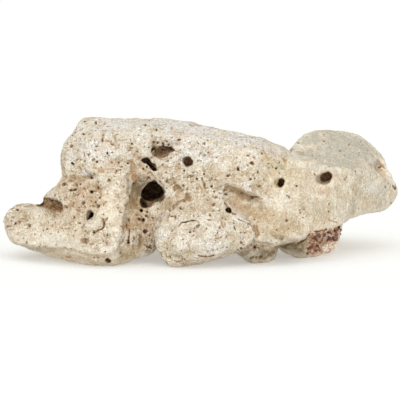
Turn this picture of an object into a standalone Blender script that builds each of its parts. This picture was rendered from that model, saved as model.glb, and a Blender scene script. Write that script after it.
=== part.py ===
"""Drilled limestone: one weathered, bored and free-standing stone on small flat feet.

The stone is built from named lumps. Each lump is the convex hull of a few corners, in
millimetres, with x along the stone, y away from the front and z up. The lumps are fused,
rounded and roughened, the hollows are cut out of them, and the underside is cut flat
where the feet stand. The origin ends up under the middle of the stone, on its resting plane.
"""
import math
from dataclasses import dataclass

import bmesh
import bpy
from mathutils import Euler, Vector, noise

MM = 0.001
STONE_LENGTH = 302 * MM
FUSE_VOXEL = 2.4 * MM
SKIN_VOXEL = 1.6 * MM
ROUNDING_PASSES = 6
ROUNDING_STRENGTH = 0.5
SWELL_SIZE = 46 * MM
SWELL_HEIGHT = 2.0 * MM
LUMP_SIZE = 15 * MM
LUMP_HEIGHT = 1.2 * MM
FUSED_TRIANGLES = 14000
STONE_TRIANGLES = 8600
HOLLOW_SUBDIVISIONS = 3
HOLLOW_WAVE_PITCH = 1.7
GROUND_BOX = (400 * MM, 260 * MM, 40 * MM)
STONE_COLOUR = (0.72, 0.65, 0.55, 1.0)
STONE_ROUGHNESS = 0.92

LUMPS = {
    "core": (
        (-95, -24, 16), (-95, 40, 18), (-92, 34, 62), (-90, -22, 55), (60, -38, 15),
        (70, 50, 17), (60, -28, 65), (70, 46, 63), (-20, 60, 16), (-20, 73, 67),
        (34, 69, 65), (-70, 60, 62), (-20, -36, 15), (-20, -40, 70)),
    "upper_slab": (
        (-102, -24, 60), (-100, -18, 84), (-88, -10, 99), (-79, -46, 68), (-77, -38, 92),
        (-46, -50, 75), (-37, -40, 96), (0, -53, 60), (7, -40, 91), (36, -50, 58),
        (45, -42, 79), (68, -26, 72), (-107, 5, 62), (-103, 5, 79), (-88, 6, 103),
        (-50, 8, 100), (-36, 8, 102), (-15, 8, 100), (5, 6, 95), (24, 5, 92), (42, 4, 88),
        (56, 0, 83), (70, -5, 78), (-96, 38, 80), (-98, 34, 60), (-60, 66, 78),
        (-64, 66, 56), (-10, 71, 75), (20, 68, 70), (50, 45, 68)),
    "main_face": (
        (-30, -49, 76), (-29, -50, 52), (-24, -58, 39), (15, -61, 40), (16, -55, 56),
        (24, -50, 70), (-26, -30, 34), (20, -30, 36), (20, -30, 76), (-30, -20, 70)),
    "lip": (
        (12, -54, 62), (32, -54, 54), (43, -53, 49), (56, -46, 48), (60, -40, 66),
        (20, -48, 78), (50, -30, 50), (20, -30, 60)),
    "lip_floor": (
        (14, -52, 32), (14, -53, 60), (44, -50, 24), (50, -47, 30), (44, -47, 52),
        (56, -44, 46), (14, -20, 32), (14, -20, 60), (48, -20, 26), (48, -20, 52)),
    "left_shelf": (
        (-151, -18, 28), (-149, -14, 35), (-140, -10, 39), (-130, -2, 39), (-146, -26, 21),
        (-142, -30, 14), (-134, -44, 12), (-113, -58, 12), (-86, -75, 13), (-66, -80, 12),
        (-104, -38, 34), (-70, -60, 32), (-138, -18, 9), (-140, 12, 28), (-120, 22, 34),
        (-128, 8, 11), (-80, 10, 13)),
    "shoulder": (
        (-120, -10, 42), (-113, -6, 49), (-105, -4, 57), (-112, -30, 36), (-78, -54, 36),
        (-74, -49, 61), (-98, -34, 59), (-80, 20, 58), (-112, 20, 36)),
    "pale_lump": (
        (-83, -60, 32), (-80, -68, 25), (-70, -68, 29), (-69, -64, 35), (-75, -60, 38),
        (-75, -45, 30)),
    "left_foot": (
        (-86, -74, 13), (-60, -78, 12), (-80, -67, -2), (-64, -69, -2), (-52, -60, 2),
        (-103, -54, 3), (-134, -32, 9), (-82, -48, -2), (-62, -50, -2), (-60, -20, 6),
        (-100, -10, 12)),
    "foot_flank": (
        (-60, -76, 14), (-53, -62, 0), (-46, -56, 3), (-34, -50, 6), (-50, -62, 26),
        (-36, -52, 26), (-60, -40, 20), (-60, -50, 0), (-34, -30, 10)),
    "pillar": (
        (-74, -50, 66), (-54, -48, 64), (-75, -66, 19), (-57, -70, 23), (-59, -78, 12),
        (-50, -40, 14), (-72, -30, 40)),
    "arch_wall": (
        (-56, -50, 42), (-30, -50, 40), (-54, -58, 14), (-30, -56, 16), (-49, -52, 5),
        (-33, -48, 7), (-50, -20, 12), (-28, -20, 13)),
    "alcove_wall": (
        (-58, -52, 36), (-58, -49, 68), (-26, -52, 36), (-26, -49, 68),
        (-58, -20, 36), (-58, -20, 68), (-26, -20, 36), (-26, -20, 68)),
    "warm_bulge": (
        (-44, -47, 72), (-36, -47, 73), (-45, -47, 61), (-34, -49, 61), (-40, -54, 66),
        (-40, -34, 66)),
    "knob": (
        (-35, -66, 19), (-30, -66, 32), (-20, -62, 42), (-2, -62, 47), (12, -64, 45),
        (34, -66, 31), (38, -68, 19), (36, -72, 14), (24, -70, 8), (0, -76, 8),
        (-19, -74, -2), (-30, -68, 8), (-11, -78, 34), (16, -78, 32), (-14, -82, 14),
        (18, -80, 15), (-21, -60, -2), (-30, -40, 30), (0, -40, 60), (34, -40, 38),
        (30, -40, 12)),
    "right_mass": (
        (50, -38, 76), (66, -28, 73), (98, -16, 68), (118, -4, 64), (34, -46, 44),
        (40, -74, 17), (57, -68, 14), (74, -54, 16), (84, -46, 20), (107, -24, 24),
        (115, -12, 27), (60, -52, 44), (92, -30, 44), (60, 40, 20), (110, 40, 28),
        (110, 40, 52), (30, 30, 66)),
    "middle_foot": (
        (38, -62, 16), (56, -58, 13), (27, -63, 4), (42, -56, -2), (55, -52, 0),
        (58, -48, 5), (30, -30, 12), (56, -30, 12), (42, -42, -2)),
    "snout": (
        (157, 30, 42), (153, 34, 50), (146, 40, 61), (148, 24, 30), (127, 8, 28),
        (143, 18, 28), (114, -5, 64), (104, -18, 25), (150, 50, 38), (142, 62, 44),
        (138, 60, 30), (100, 60, 25), (100, 40, 56)),
    "back_lobe": (
        (71, 24, 79), (82, 40, 88), (90, 48, 90), (105, 52, 89), (123, 54, 86),
        (133, 54, 80), (142, 50, 72), (147, 46, 63), (85, 75, 78), (110, 82, 74),
        (130, 78, 55), (60, 70, 58), (60, 74, 32), (110, 80, 30), (140, 66, 36),
        (55, 30, 56), (70, 0, 50), (130, 22, 36), (128, 13, 61), (142, 27, 57)),
    "back_foot": (
        (57, -36, 6), (76, -33, -2), (106, -8, 7), (110, 0, 20), (99, -18, 2),
        (74, -36, 16), (90, 30, 6), (100, 25, 22), (66, 20, 10), (60, -10, 26)),
    "rear_left": (
        (-116, 18, 30), (-104, 28, 52), (-94, 56, 50), (-66, 74, 48), (-58, 76, 18),
        (-98, 52, 14), (-112, 16, 13), (-34, 78, 36), (-84, 48, -3), (-65, 56, -3),
        (-60, 30, 10), (-82, 62, 62), (-44, 75, 66), (-96, 26, 62)),
    "rear_middle": (
        (-48, 74, 22), (-50, 77, 50), (0, 80, 40), (40, 82, 50), (64, 76, 28),
        (0, 74, 14), (-20, 77, 66), (30, 76, 62), (58, 68, 60), (28, 58, -3),
        (46, 63, -3), (20, 40, 12), (60, 40, 16)),
    "rear_saddle": (
        (46, 70, 60), (74, 72, 62), (84, 70, 34), (48, 74, 28), (60, 30, 70),
        (86, 30, 66), (60, 40, 22), (84, 40, 26)),
    "rear_shelf": (
        (-106, 34, 22), (-88, 62, 20), (-52, 80, 26), (-56, 78, 40), (-92, 62, 40),
        (-110, 34, 40), (-70, 40, 22), (-70, 40, 44)),
}


@dataclass(frozen=True)
class Hollow:
    """An uneven rounded cutter: its middle, half sizes and turn, in millimetres and degrees.

    The waviness is how far its wall swells or shrinks, as a share of its radius.
    """

    middle: tuple
    half: tuple
    turn: tuple = (0, 0, 0)
    waviness: float = 0.24


HOLLOWS = {
    "big_hole": Hollow((-34, -38, 52), (7.2, 28, 6.6), (4, 0, 10)),
    "alcove": Hollow((-40, -60, 50), (12.5, 20, 14), (0, 15, 0)),
    "slab_fold": Hollow((-60, -57, 69), (26, 9, 5), (0, 3, 4)),
    "upper_cavity": Hollow((-26, -55, 80), (9, 15, 6), (0, -14, 0)),
    "round_bore": Hollow((-9.5, -50, 74), (4.2, 9, 4.2), (0, 0, 0), 0.06),
    "knob_hole": Hollow((21, -52, 40), (2.8, 16, 2.8), (4, 0, -6)),
    "lip_recess": Hollow((32, -58, 46), (20, 10, 9), (0, 38, 0)),
    "pear_hole": Hollow((59, -40, 57), (2.7, 14, 4.0), (0, 0, -20)),
    "ragged_hole": Hollow((93, -18, 58.5), (4.6, 15, 5.0), (0, 20, -25)),
    "shoulder_hole": Hollow((-80, -56, 34), (4.8, 12, 3.0), (0, -35, 0)),
    "shelf_hole": Hollow((-82, -70, 19), (2.6, 9, 3.0), (0, 20, 0)),
    "shelf_recess": Hollow((-110, -42, 37), (11, 16, 5), (0, 12, 0)),
    "side_notch": Hollow((141, 30, 59), (8, 10, 5), (0, 50, 0)),
    "rear_hole": Hollow((-24, 76, 44), (9, 24, 8), (-8, 0, 12)),
    "rear_bore": Hollow((22, 82, 56), (4.5, 12, 4.5), (0, 0, 0), 0.06),
    "rear_pocket": Hollow((-70, 72, 60), (13, 11, 7), (0, 24, 30)),
    "rear_scoop": Hollow((18, 82, 30), (20, 12, 9), (0, -20, 0)),
    "rear_cleft": Hollow((-2, 80, 62), (5, 12, 13), (0, 16, 0)),
    "rear_slot": Hollow((94, 82, 50), (12, 10, 4.5), (0, -28, 0)),
}


def clear_scene():
    """Remove whatever the file opened with."""
    for thing in list(bpy.data.objects):
        bpy.data.objects.remove(thing, do_unlink=True)


def stone_material():
    """Pale, matt limestone."""
    material = bpy.data.materials.new("cream_limestone")
    material.use_nodes = True
    shader = material.node_tree.nodes["Principled BSDF"]
    shader.inputs["Base Color"].default_value = STONE_COLOUR
    shader.inputs["Roughness"].default_value = STONE_ROUGHNESS
    shader.inputs["Metallic"].default_value = 0.0
    return material


def add_hull(mesh, corners):
    """Add the convex hull of the corners to the mesh as a closed shell of its own."""
    points = [mesh.verts.new(Vector(corner) * MM) for corner in corners]
    hull = bmesh.ops.convex_hull(mesh, input=points)
    unused = [item for item in hull["geom_interior"] if isinstance(item, bmesh.types.BMVert)]
    bmesh.ops.delete(mesh, geom=unused, context="VERTS")


def object_from(mesh, name):
    """Link a new object made of the mesh."""
    data = bpy.data.meshes.new(name)
    mesh.to_mesh(data)
    mesh.free()
    made = bpy.data.objects.new(name, data)
    bpy.context.scene.collection.objects.link(made)
    return made


def lumps_object():
    """All lumps as overlapping closed shells in one object."""
    mesh = bmesh.new()
    for corners in LUMPS.values():
        add_hull(mesh, corners)
    bmesh.ops.recalc_face_normals(mesh, faces=mesh.faces[:])
    return object_from(mesh, "limestone")


def add_hollow(mesh, hollow):
    """Add a wavy ball, stretched and turned to the hollow's shape."""
    ball = bmesh.ops.create_icosphere(mesh, subdivisions=HOLLOW_SUBDIVISIONS, radius=1.0)
    turn = Euler([math.radians(angle) for angle in hollow.turn]).to_matrix()
    middle = Vector(hollow.middle)
    for point in ball["verts"]:
        wave = 1 + hollow.waviness * noise.noise(point.co * HOLLOW_WAVE_PITCH + middle)
        stretched = Vector(share * half for share, half in zip(point.co, hollow.half))
        point.co = (middle + turn @ stretched * wave) * MM


def hollows_cutter():
    """All hollows as one cutter."""
    mesh = bmesh.new()
    for hollow in HOLLOWS.values():
        add_hollow(mesh, hollow)
    return object_from(mesh, "hollows")


def ground_cutter():
    """A block that fills the space under the resting plane."""
    mesh = bmesh.new()
    bmesh.ops.create_cube(mesh, size=1.0)
    bmesh.ops.scale(mesh, vec=GROUND_BOX, verts=mesh.verts)
    bmesh.ops.translate(mesh, vec=(0, 0, -GROUND_BOX[2] / 2), verts=mesh.verts)
    return object_from(mesh, "ground")


def hide_cutter(cutter):
    """Mark a cutter as a guide that isn't part of the stone."""
    cutter.hide_render = True
    cutter.display_type = "WIRE"


def roughen(stone, name, size, height):
    """Push the surface in and out by up to the height, in soft clouds of the given size."""
    clouds = bpy.data.textures.new(name, "CLOUDS")
    clouds.noise_scale = size
    clouds.noise_depth = 1
    swell = stone.modifiers.new(name, "DISPLACE")
    swell.texture = clouds
    swell.texture_coords = "LOCAL"
    swell.strength = height * 2
    swell.mid_level = 0.5


def cut(stone, cutter, overlapping=False):
    """Take the cutter's shape, or its overlapping shapes, out of the stone."""
    hide_cutter(cutter)
    difference = stone.modifiers.new(cutter.name, "BOOLEAN")
    difference.operation = "DIFFERENCE"
    difference.solver = "EXACT"
    difference.use_self = overlapping
    difference.object = cutter


def reskin(stone, name, voxel):
    """Give the stone one even, closed skin."""
    skin = stone.modifiers.new(name, "REMESH")
    skin.mode = "VOXEL"
    skin.voxel_size = voxel


def round_corners(stone):
    """Round the corners of the fused lumps."""
    soften = stone.modifiers.new("round", "SMOOTH")
    soften.factor = ROUNDING_STRENGTH
    soften.iterations = ROUNDING_PASSES


def evaluated_bounds(stone):
    """Lowest and highest corner of the stone with its modifiers, and its triangle count."""
    seen = stone.evaluated_get(bpy.context.evaluated_depsgraph_get())
    data = seen.to_mesh()
    data.calc_loop_triangles()
    places = [stone.matrix_world @ point.co for point in data.vertices]
    low = Vector(min(place[axis] for place in places) for axis in range(3))
    high = Vector(max(place[axis] for place in places) for axis in range(3))
    triangles = len(data.loop_triangles)
    seen.to_mesh_clear()
    return low, high, triangles


def thin_out(stone, name, kept):
    """Thin the skin to the number of triangles that are kept."""
    triangles = evaluated_bounds(stone)[2]
    thin = stone.modifiers.new(name, "DECIMATE")
    thin.ratio = kept / triangles


def stand_at_origin(stone, cutters):
    """Scale to the real length and move everything so the stone's foot is at the origin."""
    low, high, _ = evaluated_bounds(stone)
    scale = STONE_LENGTH / (high.x - low.x)
    frame = bpy.data.objects.new("stone_frame", None)
    bpy.context.scene.collection.objects.link(frame)
    for piece in [stone, *cutters]:
        piece.parent = frame
    frame.scale = (scale, scale, scale)
    frame.location = (-scale * (low.x + high.x) / 2, -scale * (low.y + high.y) / 2, 0)


def main():
    """Build the stone."""
    clear_scene()
    stone = lumps_object()
    stone.data.materials.append(stone_material())
    reskin(stone, "fuse", FUSE_VOXEL)
    round_corners(stone)
    roughen(stone, "swells", SWELL_SIZE, SWELL_HEIGHT)
    roughen(stone, "lumps", LUMP_SIZE, LUMP_HEIGHT)
    thin_out(stone, "thin_fused", FUSED_TRIANGLES)
    hollows = hollows_cutter()
    cut(stone, hollows, overlapping=True)
    reskin(stone, "skin", SKIN_VOXEL)
    thin_out(stone, "thin_skin", STONE_TRIANGLES)
    ground = ground_cutter()
    cut(stone, ground)
    stand_at_origin(stone, [hollows, ground])


main()
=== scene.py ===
"""The looks of a drilled limestone: a long pale stone that pores, bores and hollows run through.

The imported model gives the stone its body. A copy of that body gets a fine skin, its ledges are
drawn, its bores are cut, and its hollows, cracks and pores are pressed in on every side. Brown
calcite crystals cover the outer end of the rear foot. What the photograph shows is placed by its
pixel there and sits where the line of sight through that pixel meets the stone.
"""

import logging
import math
from collections.abc import Sequence
from dataclasses import dataclass, field
from enum import Enum
from itertools import product
from typing import Any, ClassVar

import bpy
import numpy as np
from mathutils import Matrix, Vector
from mathutils.bvhtree import BVHTree


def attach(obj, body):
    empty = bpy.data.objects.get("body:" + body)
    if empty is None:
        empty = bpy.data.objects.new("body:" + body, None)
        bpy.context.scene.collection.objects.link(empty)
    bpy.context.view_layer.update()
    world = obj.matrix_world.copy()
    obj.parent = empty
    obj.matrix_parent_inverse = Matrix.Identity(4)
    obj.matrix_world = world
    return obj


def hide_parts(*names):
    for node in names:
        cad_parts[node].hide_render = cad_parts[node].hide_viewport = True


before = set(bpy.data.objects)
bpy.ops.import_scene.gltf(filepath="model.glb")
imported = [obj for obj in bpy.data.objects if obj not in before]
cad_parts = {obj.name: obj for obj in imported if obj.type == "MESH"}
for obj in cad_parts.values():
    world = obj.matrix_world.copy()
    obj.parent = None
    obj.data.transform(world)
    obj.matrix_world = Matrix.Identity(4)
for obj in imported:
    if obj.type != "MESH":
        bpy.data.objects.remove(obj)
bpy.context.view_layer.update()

MM = 0.001
log = logging.getLogger("drilled_limestone")

Pixel = tuple[float, float]
Outline = tuple[Pixel, ...]
Colour = tuple[float, float, float]


def alone(piece: bpy.types.Object) -> None:
    """Makes a piece the only selected object, and the active one."""
    bpy.ops.object.select_all(action="DESELECT")
    piece.select_set(True)
    bpy.context.view_layer.objects.active = piece


def shaped_by(piece: bpy.types.Object, kind: str, **settings: Any) -> None:
    """Adds a modifier to a piece and applies it.

    Args:
        piece: The object to shape.
        kind: The modifier's type, such as REMESH.
        settings: The modifier's settings, by name.
    """
    modifier = piece.modifiers.new(kind.lower(), kind)
    for name, value in settings.items():
        setattr(modifier, name, value)
    alone(piece)
    bpy.ops.object.modifier_apply(modifier=modifier.name)


@dataclass(frozen=True)
class Layer:
    """A layer of uneven lumps on a skin.

    Attributes:
        name: What it is called.
        size: How wide its lumps are.
        height: How high they are.
    """

    name: str
    size: float
    height: float


def roughen(piece: bpy.types.Object, layers: Sequence[Layer]) -> None:
    """Gives a piece's skin its uneven lumps.

    Args:
        piece: The object to roughen.
        layers: The lumps, one layer after the other.
    """
    for layer in layers:
        texture = cloudy(layer.name, layer.size)
        shaped_by(piece, "DISPLACE", texture=texture, strength=layer.height, mid_level=0.5)


def joined(pieces: Sequence[bpy.types.Object], name: str) -> bpy.types.Object:
    """Joins pieces into the first one.

    Args:
        pieces: The objects to join.
        name: The name of the result.

    Returns:
        The first object, which now holds every mesh.
    """
    bpy.ops.object.select_all(action="DESELECT")
    for piece in pieces:
        piece.select_set(True)
    bpy.context.view_layer.objects.active = pieces[0]
    bpy.ops.object.join()
    pieces[0].name = name
    return pieces[0]


def cloudy(name: str, size: float, depth: int = 2) -> bpy.types.Texture:
    """A cloud texture for a Displace modifier.

    Args:
        name: The texture's name.
        size: The size of its lumps.
        depth: How many finer layers it has.

    Returns:
        The texture.
    """
    texture = bpy.data.textures.new(name, "CLOUDS")
    texture.noise_scale = size
    texture.noise_depth = depth
    return texture


class Grain:
    """Smooth seeded noise at any points of space, from -1 to 1."""

    TABLE_SIZE = 256

    def __init__(self, seed: int) -> None:
        """Draws the noise's tables.

        Args:
            seed: The same seed gives the same noise.
        """
        dice = np.random.default_rng(seed)
        self.order = dice.permutation(self.TABLE_SIZE)
        self.heights = dice.uniform(-1.0, 1.0, self.TABLE_SIZE)

    def at(self, points: np.ndarray, size: float) -> np.ndarray:
        """The noise's height at each point.

        Args:
            points: Rows of x, y, z.
            size: The size of the noise's lumps.

        Returns:
            One height for each point.
        """
        scaled = points / size
        cell = np.floor(scaled).astype(np.int64)
        part = scaled - cell
        ease = part * part * (3.0 - 2.0 * part)
        total = np.zeros(len(points))
        last = self.TABLE_SIZE - 1
        for corner in product((0, 1), repeat=3):
            index = self.order[(cell[:, 0] + corner[0]) & last]
            index = self.order[(index + cell[:, 1] + corner[1]) & last]
            index = self.order[(index + cell[:, 2] + corner[2]) & last]
            share = np.ones(len(points))
            for axis, step in enumerate(corner):
                share *= ease[:, axis] if step else 1.0 - ease[:, axis]
            total += share * self.heights[index]
        return total


RAGGED = Grain(seed=11)
PATCHY = Grain(seed=23)
CRUMBLY = Grain(seed=37)


def eased(low: float, high: float, value: np.ndarray) -> np.ndarray:
    """A smooth step from 0 to 1.

    Args:
        low: Where it leaves 0.
        high: Where it reaches 1.
        value: The numbers to ease.

    Returns:
        The eased numbers.
    """
    part = np.clip((value - low) / (high - low), 0.0, 1.0)
    return part * part * (3.0 - 2.0 * part)


def depth_inside(outline: Outline, pixels: np.ndarray) -> np.ndarray:
    """How far pixels lie inside an outline.

    Args:
        outline: The outline's corners in the photograph.
        pixels: Rows of pixel x and pixel y.

    Returns:
        The distance to the outline in pixels, negative outside it.
    """
    corners = np.array(outline)
    gap = np.full(len(pixels), np.inf)
    within = np.zeros(len(pixels), bool)
    for start, end in zip(corners, np.roll(corners, -1, axis=0)):
        along = end - start
        offset = pixels - start
        part = np.clip(offset @ along / (along @ along), 0.0, 1.0)
        gap = np.minimum(gap, np.hypot(*(offset - part[:, None] * along).T))
        crosses = (pixels[:, 1] < start[1]) != (pixels[:, 1] < end[1])
        within ^= crosses & (offset[:, 0] < offset[:, 1] * along[0] / (along[1] or 1.0))
    return np.where(within, gap, -gap)


@dataclass(frozen=True)
class Sight:
    """The photograph's line of sight, with its square frame laid over the stone.

    Attributes:
        target: The point that the middle of the frame looks at.
        distance: From the eye to the target.
        elevation: How far the eye looks down.
        frame_width: What the frame covers at the target.
        frame_pixels: The photograph's width and height in pixels.
    """

    OVAL_CORNERS: ClassVar[int] = 12
    target: tuple[float, float, float] = (-3.0 * MM, 0.3 * MM, 39.8 * MM)
    distance: float = 1300 * MM
    elevation: float = math.radians(7.0)
    frame_width: float = 303 * MM
    frame_pixels: float = 400.0

    @property
    def forward(self) -> Vector:
        """The direction that the eye looks in."""
        return Vector((0.0, math.cos(self.elevation), -math.sin(self.elevation)))

    @property
    def upward(self) -> Vector:
        """The direction that is up in the frame."""
        return Vector((0.0, math.sin(self.elevation), math.cos(self.elevation)))

    @property
    def eye(self) -> Vector:
        """Where the photograph was taken from."""
        return Vector(self.target) - self.forward * self.distance

    @property
    def pixel(self) -> float:
        """What one pixel covers at the target."""
        return self.frame_width / self.frame_pixels

    def through(self, pixel: Pixel) -> Vector:
        """The direction from the eye through a pixel.

        Args:
            pixel: A pixel of the photograph.

        Returns:
            The direction, one long along the middle line of sight.
        """
        step = self.pixel / self.distance
        half = self.frame_pixels / 2.0
        side = Vector(((pixel[0] - half) * step, 0.0, 0.0))
        return self.forward + side + self.upward * (half - pixel[1]) * step

    def seen(self, points: np.ndarray) -> np.ndarray:
        """Where points show in the photograph.

        Args:
            points: Rows of x, y, z.

        Returns:
            A row of pixel x and pixel y for each point.
        """
        offset = points - np.array(self.eye)
        depth = offset @ np.array(self.forward) * self.pixel / self.distance
        half = self.frame_pixels / 2.0
        rise = offset @ np.array(self.upward)
        return np.stack((half + offset[:, 0] / depth, half - rise / depth), 1)

    def glance(self, piece: bpy.types.Object, pixel: Pixel) -> tuple[Vector, Vector] | None:
        """Where the line of sight through a pixel meets a piece, or None if it misses.

        Args:
            piece: The object to look at.
            pixel: A pixel of the photograph.

        Returns:
            The point and the surface's outward direction there.
        """
        hit, point, outward, _ = piece.ray_cast(self.eye, self.through(pixel).normalized())
        return (point, outward) if hit else None

    def meets(self, piece: bpy.types.Object, pixel: Pixel) -> tuple[Vector, Vector]:
        """Where the line of sight meets a piece, through a pixel that has to show it.

        Args:
            piece: The object to look at.
            pixel: A pixel of the photograph.

        Returns:
            The point and the surface's outward direction there.
        """
        found = self.glance(piece, pixel)
        if found is None:
            raise ValueError(f"the line of sight through {pixel} misses {piece.name}")
        return found

    def oval(self, middle: Pixel, width: float, height: float, turn: float = 0.0) -> Outline:
        """An oval's outline.

        Args:
            middle: The pixel of its middle.
            width: Its width in millimetres.
            height: Its height in millimetres.
            turn: How far its width turns anticlockwise from level, in degrees.

        Returns:
            Its corners.
        """
        cos, sin = math.cos(math.radians(turn)), math.sin(math.radians(turn))
        corners = []
        for step in range(self.OVAL_CORNERS):
            angle = step * math.tau / self.OVAL_CORNERS
            across = math.cos(angle) * width * MM / 2 / self.pixel
            rise = math.sin(angle) * height * MM / 2 / self.pixel
            corners.append((middle[0] + across * cos - rise * sin, middle[1] - across * sin - rise * cos))
        return tuple(corners)


SIGHT = Sight()


class Tint(Enum):
    """The colours laid on the stone: stains, and painted shade in dark olive and some tan."""

    CHALK = (0.82, 0.805, 0.76)
    STRAW = (0.62, 0.47, 0.23)
    OCHRE = (0.52, 0.27, 0.10)
    WARM = (0.51, 0.34, 0.19)
    # A dark olive that paints shade under overhangs, on the feet and in recesses.
    OLIVE = (0.155, 0.11, 0.045)
    ROSE = (0.66, 0.465, 0.305)
    GREY = (0.45, 0.43, 0.36)
    TAN = (0.46, 0.33, 0.18)
    PINK = (0.64, 0.46, 0.32)


@dataclass(frozen=True)
class Bore:
    """A deep hole, cut out of the stone.

    Attributes:
        name: What it is.
        mouth: Its mouth's outline.
        depth: How far it runs in, in millimetres.
        soil: How dark the dirt and the painted shade in it are, from 0 to 1.
        slant: How far it heads right and up on its way in, as shares of its depth.
        taper: How much it narrows on its way in, from 0 to 1.
        lead: How far before the surface it starts, in millimetres.
    """

    name: str
    mouth: Outline
    depth: float
    soil: float = 1.0
    slant: tuple[float, float] = (0.0, 0.0)
    taper: float = 1.0
    lead: float = 6.0


@dataclass(frozen=True)
class Hollow:
    """A hollow pressed into the stone, or a lump raised from it.

    Attributes:
        name: What it is.
        mouth: Its rim's outline.
        depth: Its depth in millimetres; a lump's is negative.
        soil: How dark the dirt and the painted shade in it are, from 0 to 1.
        wall: How wide its side is, from 0 for a cliff to 1 for a bowl.
    """

    name: str
    mouth: Outline
    depth: float
    soil: float = 0.5
    wall: float = 0.5


@dataclass(frozen=True)
class Stroke:
    """A crack, groove or ledge along a line of the photograph.

    Attributes:
        name: What it is.
        seen_along: The pixels that it runs through.
        width: Its width in millimetres.
        lift: How far it stands out in millimetres; a groove's is negative.
        soil: How dark the dirt and the painted shade in it are, from 0 to 1.
        WIDE: From which width it is drawn on the first skin, where the big shapes are made.
    """

    WIDE: ClassVar[float] = 5.0
    name: str
    seen_along: Outline
    width: float
    lift: float
    soil: float = 0.0

    @property
    def is_wide(self) -> bool:
        """Whether it is one of the big shapes."""
        return self.width >= self.WIDE


@dataclass(frozen=True)
class Patch:
    """An oval patch of the stone, with soft edges.

    Attributes:
        name: What it is.
        seen_at: The pixel of its middle in the photograph.
        width: Its width in millimetres.
        height: Its height in millimetres.
        tint: Its colour, or how porous the stone is there, from 0 to 1.
        strength: How much of that shows at its middle.
        turn: How far its width turns anticlockwise from level, in degrees.
    """

    name: str
    seen_at: Pixel
    width: float
    height: float
    tint: Tint | float
    strength: float = 1.0
    turn: float = 0.0


BORES = (
    Bore("big hole", ((142, 190), (145.4, 185.6), (148.6, 181.8), (154, 179.2), (158.4, 181),
        (162, 185.6), (165.4, 192.6), (162.4, 196.6), (157, 199), (150, 200.6), (143, 199.4), (141, 195)),
        26, 0.66, taper=0.2, lead=30),
    Bore("ledge in the big hole", ((140, 201), (142, 197), (148, 199), (156, 197), (161, 195),
        (165.6, 196.5), (165, 200), (161, 202), (156.5, 202.5), (153, 204.5), (148, 207.5)), 8, 0.56,
        lead=14),
    Bore("big hole's low corner", ((139, 203), (141.5, 199), (145, 201.5), (147.5, 206), (146, 208.8),
        (142, 206.8)), 13, 0.85),
    Bore("round bore", SIGHT.oval((187.7, 161.8), 8.8, 9), 6.5, 0.6, (0.15, -0.25), lead=14),
    Bore("upper cavity", ((154.5, 153.5), (158, 151.5), (160, 149), (163, 146), (168, 147), (173, 148.5),
        (175.5, 150.5), (171, 152.5), (168, 155.5), (163, 157.5), (160.5, 158.7), (157, 157.5)), 6, 0.58,
        (0.2, 0.3)),
    Bore("pore left of the cavity", SIGHT.oval((153.4, 150.6), 2.8, 2.6), 5, 0.9),
    Bore("pores over the cavity", ((161, 142.5), (163.5, 142), (164.5, 143.5), (166, 145), (164, 146.2),
        (162.5, 144.6)), 4.5, 0.9),
    Bore("hole by the knob", ((225, 210.5), (226, 208), (228, 206.3), (230.3, 207), (231.5, 209),
        (232.3, 211.5), (231, 213.6), (229, 213.2), (226.2, 212.4)), 9, lead=14),
    Bore("pear-shaped hole", ((278, 177.5), (282, 177.5), (284, 180), (283.5, 184), (282.5, 187),
        (281, 188.7), (279.5, 187.7), (277.7, 184), (278.5, 180)), 8, 0.6, (0.2, 0.2)),
    Bore("ragged hole", ((318.3, 176), (320, 174), (323, 172.5), (325.5, 171), (326.8, 168.8),
        (329.4, 172.5), (330, 177), (327.5, 181), (325, 183), (321, 182), (319, 179.3)), 8, 0.56,
        (0.5, -0.2), 0.6),
    Bore("shoulder hole", ((85.5, 221), (86, 218.5), (89, 217), (90, 214), (93, 212.8), (95.2, 215.5),
        (92.5, 218.5), (89, 219.8), (86.8, 222.2)), 10, 1, (0.1, 0.3)),
    Bore("ledge hole", SIGHT.oval((86.6, 242.4), 2.6, 3), 6),
    Bore("foot pit", ((105, 258.2), (108, 257.8), (109, 260), (112, 260.6), (111, 262.4), (107, 262.6),
        (105.2, 261)), 5, 0.95),
    Bore("hole under the slab", ((60.5, 184), (62.5, 181.8), (65.5, 182), (66.6, 184), (64.5, 186.4),
        (61.5, 186.6)), 5, 0.8),
    Bore("shoulder pore", ((88.6, 190.8), (92, 190), (93.6, 191.6), (92.4, 194.2), (90.6, 193.4)), 4.5,
        0.9),
    Bore("slit over the bulge", ((141.6, 160), (143.6, 156.8), (147.4, 156.2), (150.8, 158.4),
        (152.2, 161.4), (154.8, 163.6), (157.2, 166.8), (158.4, 171), (154.2, 171), (150.4, 168.2),
        (147.6, 165), (145, 162.4)), 9, 0.95, (-0.1, -0.2), 0.5, 12),
    Bore("alcove pit", ((140, 209.6), (142.4, 209), (143.4, 211), (141.6, 212.8), (140, 211.6)), 5),
    Bore("alcove pit, lower", ((140.6, 219.6), (143.6, 218.8), (145, 221), (143, 222.6), (141, 221.6)),
        4.5, 0.9),
    Bore("alcove brown pit", SIGHT.oval((145.5, 231.3), 4.2, 3.4, -20), 4, 0.68),
    Bore("pore under the bore", SIGHT.oval((184, 171), 1.9, 2.2), 4),
    Bore("corner pit", ((253.4, 245.6), (256.2, 245.6), (257.2, 248), (256, 250), (253.4, 249.4)), 4,
        0.85),
    Bore("slab slit", ((92.6, 148.6), (94, 146.6), (96.6, 145.2), (98.4, 145.2), (98.2, 147),
        (95.6, 147.6)), 4, 0.95),
)

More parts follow.
